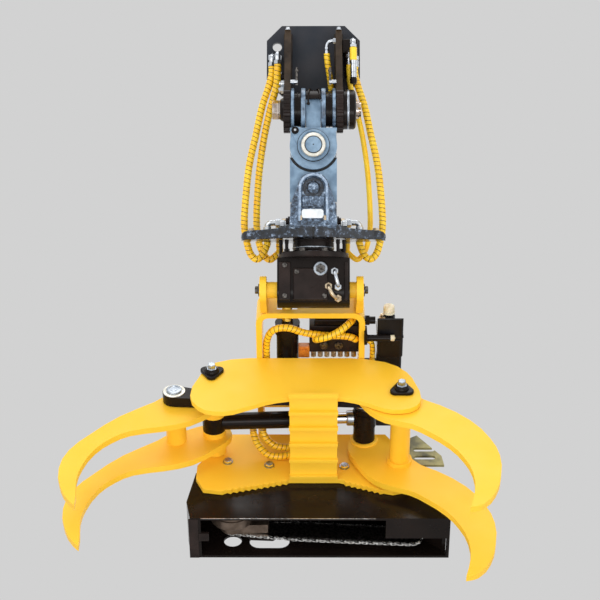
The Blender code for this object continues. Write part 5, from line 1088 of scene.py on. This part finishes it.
# the cap's rim is fluted: every third corner of its upper rings is drawn in
onCap = settler("filler_cap", lean=True)
cap = turnedRod(near(177, -30, -76.5), "z", [(0, 12.8), (1.0, 13.4), (14.0, 13.0), (16.0, 12.0), (17.6, 9.4),
                                             (18.4, 5)], 36)
flutes = {"every": 3, "above": -0.0635, "drawnIn": 0.93, "middle": Vector((0.177, 0.030))}
for index, vertex in enumerate(cap.data.vertices):
    if index % flutes["every"] == 0 and vertex.co.z < flutes["above"]:
        vertex.co.xy = flutes["middle"].lerp(vertex.co.xy, flutes["drawnIn"])
onCap(cap, "fillerCapBody", "nylon", "filler_cap", smooth=25)
ring = turnedRod(near(177, -30, -79), "z", [(0, 14.0), (2.4, 14.0), (3.0, 13.0)], 40)
onCap(ring, "fillerCapRing", "nylon", "filler_cap")
print("stage: tank modelled")

# Saw box: motor drum with its shaft, bar end plate, flange tab, a bright strip on the lip as painted highlight, and the
# chain's links
onBar = settler("saw_bar", lean=True)
chainSet = {"pivot": (-189, 245), "degrees": 4.0, "level": -500, "length": 412, "noseRadius": 29, "tailRadius": 20.5,
            "bow": 1.5, "pitch": 16.2, "sideSteps": 40, "noseSteps": 20, "tailSteps": 16}
motor = turnedRod(near(*chainSet["pivot"], -471.3), "z", [(0, 44), (2.2, 48.5), (4.0, 50), (26, 50), (26.4, 47.5),
                                                          (29, 47.5), (29.4, 50), (40, 50)], 72)
onFrame(motor, "sawMotorDrum", "motor", "saw_motor")
shaft = turnedRod(near(*chainSet["pivot"], -470), "-z", [(0, 12), (6, 12), (6.4, 8), (22, 8), (22.4, 5), (41, 5),
                                                         (42, 4)], 28)
settle(shaft, "sawShaft", "drive_sprocket", "turned", lean=True)
outline = planOf([(-150, 238), (-146, 232), (-92, 235), (-85, 242), (-87, 274), (-94, 280), (-144, 277), (-151, 270)])
onBar(softPlate(outline, -511, -504, "XY", 1.4), "barEndPlate", "black")
onBar(boltHeads([near(-135, 256, -511), near(-102, 258.5, -511)], "-z", 11, 6, 14), "barEndNuts", "oiled")
onFrame(softBlock((-264, -304.5, -490.5), (-240.5, -297, -468.5), 0.8), "boxFlangeTab", "rotorBlack")
outline = planOf([(-264, 300.5), (-286, 300.5), (-286, 304.5), (-264, 304.5)])
onFrame(softPlate(outline, -540, -428, "XY", 1.0), "boxFlangeStrip", "rotorBlack")
# a bright steel strip along the black box's front lip: painted highlight
lip = softBlock((-258, -304, -426.2), (142, -301.8, -425), 0.4, 1)
onFrame(lip, "boxWornLip", "oiledBright", slot="black_paint")


# The chain's way round the bar: along one side, round the nose, back and round the sprocket
def chainRoute():
    ahead = Vector((cos(radians(chainSet["degrees"])), -sin(radians(chainSet["degrees"]))))
    out = Vector((-ahead.y, ahead.x))
    tail = Vector(near(*chainSet["pivot"], 0)[:2])
    nose = tail + ahead * chainSet["length"]
    tailRadius, noseRadius = chainSet["tailRadius"], chainSet["noseRadius"]
    sideSteps, noseSteps, tailSteps = [chainSet[key] for key in ("sideSteps", "noseSteps", "tailSteps")]

    def along(share, side):
        width = tailRadius + (noseRadius - tailRadius) * min(1, share * 3) + 4 * share * (1 - share) * chainSet["bow"]
        return tail.lerp(nose, share) + out * side * width

    def turned(middle, radius, degrees):
        return middle + (ahead * cos(radians(degrees)) + out * sin(radians(degrees))) * radius

    return ([along(k / sideSteps, -1) for k in range(sideSteps + 1)]
            + [turned(nose, noseRadius, 180 * k / noseSteps - 90) for k in range(1, noseSteps)]
            + [along(1 - k / sideSteps, 1) for k in range(sideSteps + 1)]
            + [turned(tail, tailRadius, 180 * k / tailSteps + 90) for k in range(1, tailSteps)])


# Along x, outwards y: two side straps with rivets, and between them a drive link; a cutter's strap carries its tooth
def chainLink(cutter):
    lower = [(-7.2, 1.6), (-7.2, -2.2), (-5.0, -3.6), (5.0, -3.6), (7.2, -2.2), (7.2, 1.6)]
    height = 3.0 if cutter else 3.4
    plain = [(4.6, height), (-4.6, height)]
    tooth = [(5.0, 3.4), (1.6, 3.0), (-1.0, 6.2), (-6.6, 6.6)]
    strap = cutPlate(lower + (tooth if cutter else plain), -3.0, -1.4)
    other = cutPlate(lower + plain, 1.4, 3.0)
    drive = cutPlate([(3.0, 2.0), (13.5, 2.0), (13.0, -4.0), (8.8, -7.8), (6.0, -4.0)], -1.0, 1.0)
    rivets = [turnedRod((x, 0, -3.6), "z", [(0, 1.5), (0.5, 2.0), (6.7, 2.0), (7.2, 1.5)], 8) for x in (-4.2, 4.2)]
    return joined([strap, other, drive, *rivets])


patterns = [chainLink(True), chainLink(False)]
corners = chainRoute()
lengths = [0.0]
for first, second in zip(corners, corners[1:] + corners[:1]):
    lengths.append(lengths[-1] + (second - first).length)
count = int(lengths[-1] / chainSet["pitch"])
links = []
for k in range(count):
    target = lengths[-1] * k / count
    place = next(i for i in range(len(corners)) if lengths[i + 1] >= target)
    first, second = corners[place], corners[(place + 1) % len(corners)]
    x, y = first.lerp(second, (target - lengths[place]) / (lengths[place + 1] - lengths[place]))
    ahead = (second - first).normalized()
    x, y, z = mm(x, y, chainSet["level"])
    link = copyOf(patterns[k % 2])
    link.matrix_world = Matrix(((ahead.x, ahead.y, 0, x), (ahead.y, -ahead.x, 0, y), (0, 0, -1, z), (0, 0, 0, 1)))
    links.append(link)
for pattern in patterns:
    bpy.data.objects.remove(pattern)
onBar(joined(links), "sawChainLinks", "oiledBright", "saw_chain")
print("stage: saw modelled,", count, "chain links")


# Studio: each lamp has a place, a target, a size and a power
studio = {
    "cameraPlace": (0.0, -3.605, -0.784), "cameraTurn": (93.384, 0.0, 0.508), "lens": 91.32,
    "backdrop": "#D2D2D2", "roomLight": "#E2E2E2", "roomStrength": 1.12, "floorHeight": -1.9,
    "lamps": {
        "keyLamp": ((-1.6, -2.6, 1.4), (0, -0.1, -0.6), (2.2, 2.2), 25),
        "fillLamp": ((2.2, -2.4, 0.4), (0, -0.1, -0.7), (2.2, 2.4), 11),
        "lowLamp": ((0.0, -2.8, -1.6), (0, -0.1, -0.9), (2.8, 1.0), 33),
        "topLamp": ((0.0, 0.4, 1.6), (0, -0.1, -0.6), (1.8, 1.2), 14),
        "rearLamp": ((0.0, 2.6, 0.2), (0, -0.1, -0.6), (2.4, 2.0), 14),
    },
}
for name, (place, target, size, power) in studio["lamps"].items():
    data = bpy.data.lights.new(name, "AREA")
    data.shape = "RECTANGLE"
    data.size, data.size_y = size
    data.energy = power
    lamp = bpy.data.objects.new(name, data)
    bpy.context.scene.collection.objects.link(lamp)
    lamp.location = place
    lamp.visible_camera = False
    lamp.rotation_euler = (Vector(target) - Vector(place)).to_track_quat("-Z", "Y").to_euler()

# The room lights the part a little brighter than the backdrop that the camera sees
world = bpy.data.worlds.new("paleStudio")
world.use_nodes = True
bpy.context.scene.world = world
worldTree = world.node_tree
room = worldTree.nodes["Background"]
room.inputs["Color"].default_value = linear(studio["roomLight"])
room.inputs["Strength"].default_value = studio["roomStrength"]
seen = addNode(worldTree, "ShaderNodeBackground", {"Color": linear(studio["backdrop"]), "Strength": 1.0})
path = addNode(worldTree, "ShaderNodeLightPath")
chosen = addNode(worldTree, "ShaderNodeMixShader", links={0: path.outputs["Is Camera Ray"],
                                                          1: room.outputs["Background"],
                                                          2: seen.outputs["Background"]})
worldTree.links.new(chosen.outputs["Shader"], worldTree.nodes["World Output"].inputs["Surface"])

pickOnly()
bpy.ops.mesh.primitive_plane_add(size=8, location=(0, 0, studio["floorHeight"]))
floor = bpy.context.active_object
floor.name = "paleFloor"
floorLook = {"Base Color": linear(studio["backdrop"]), "Roughness": 0.9}
floor.data.materials.append(newFinish("matFloorPaint", floorLook)[0])

cameraData = bpy.data.cameras.new("photoCamera")
cameraData.lens = studio["lens"]
camera = bpy.data.objects.new("photoCamera", cameraData)
bpy.context.scene.collection.objects.link(camera)
camera.location = studio["cameraPlace"]
camera.rotation_euler = tuple(radians(angle) for angle in studio["cameraTurn"])
bpy.context.scene.camera = camera
bpy.context.scene.view_settings.view_transform = "Standard"
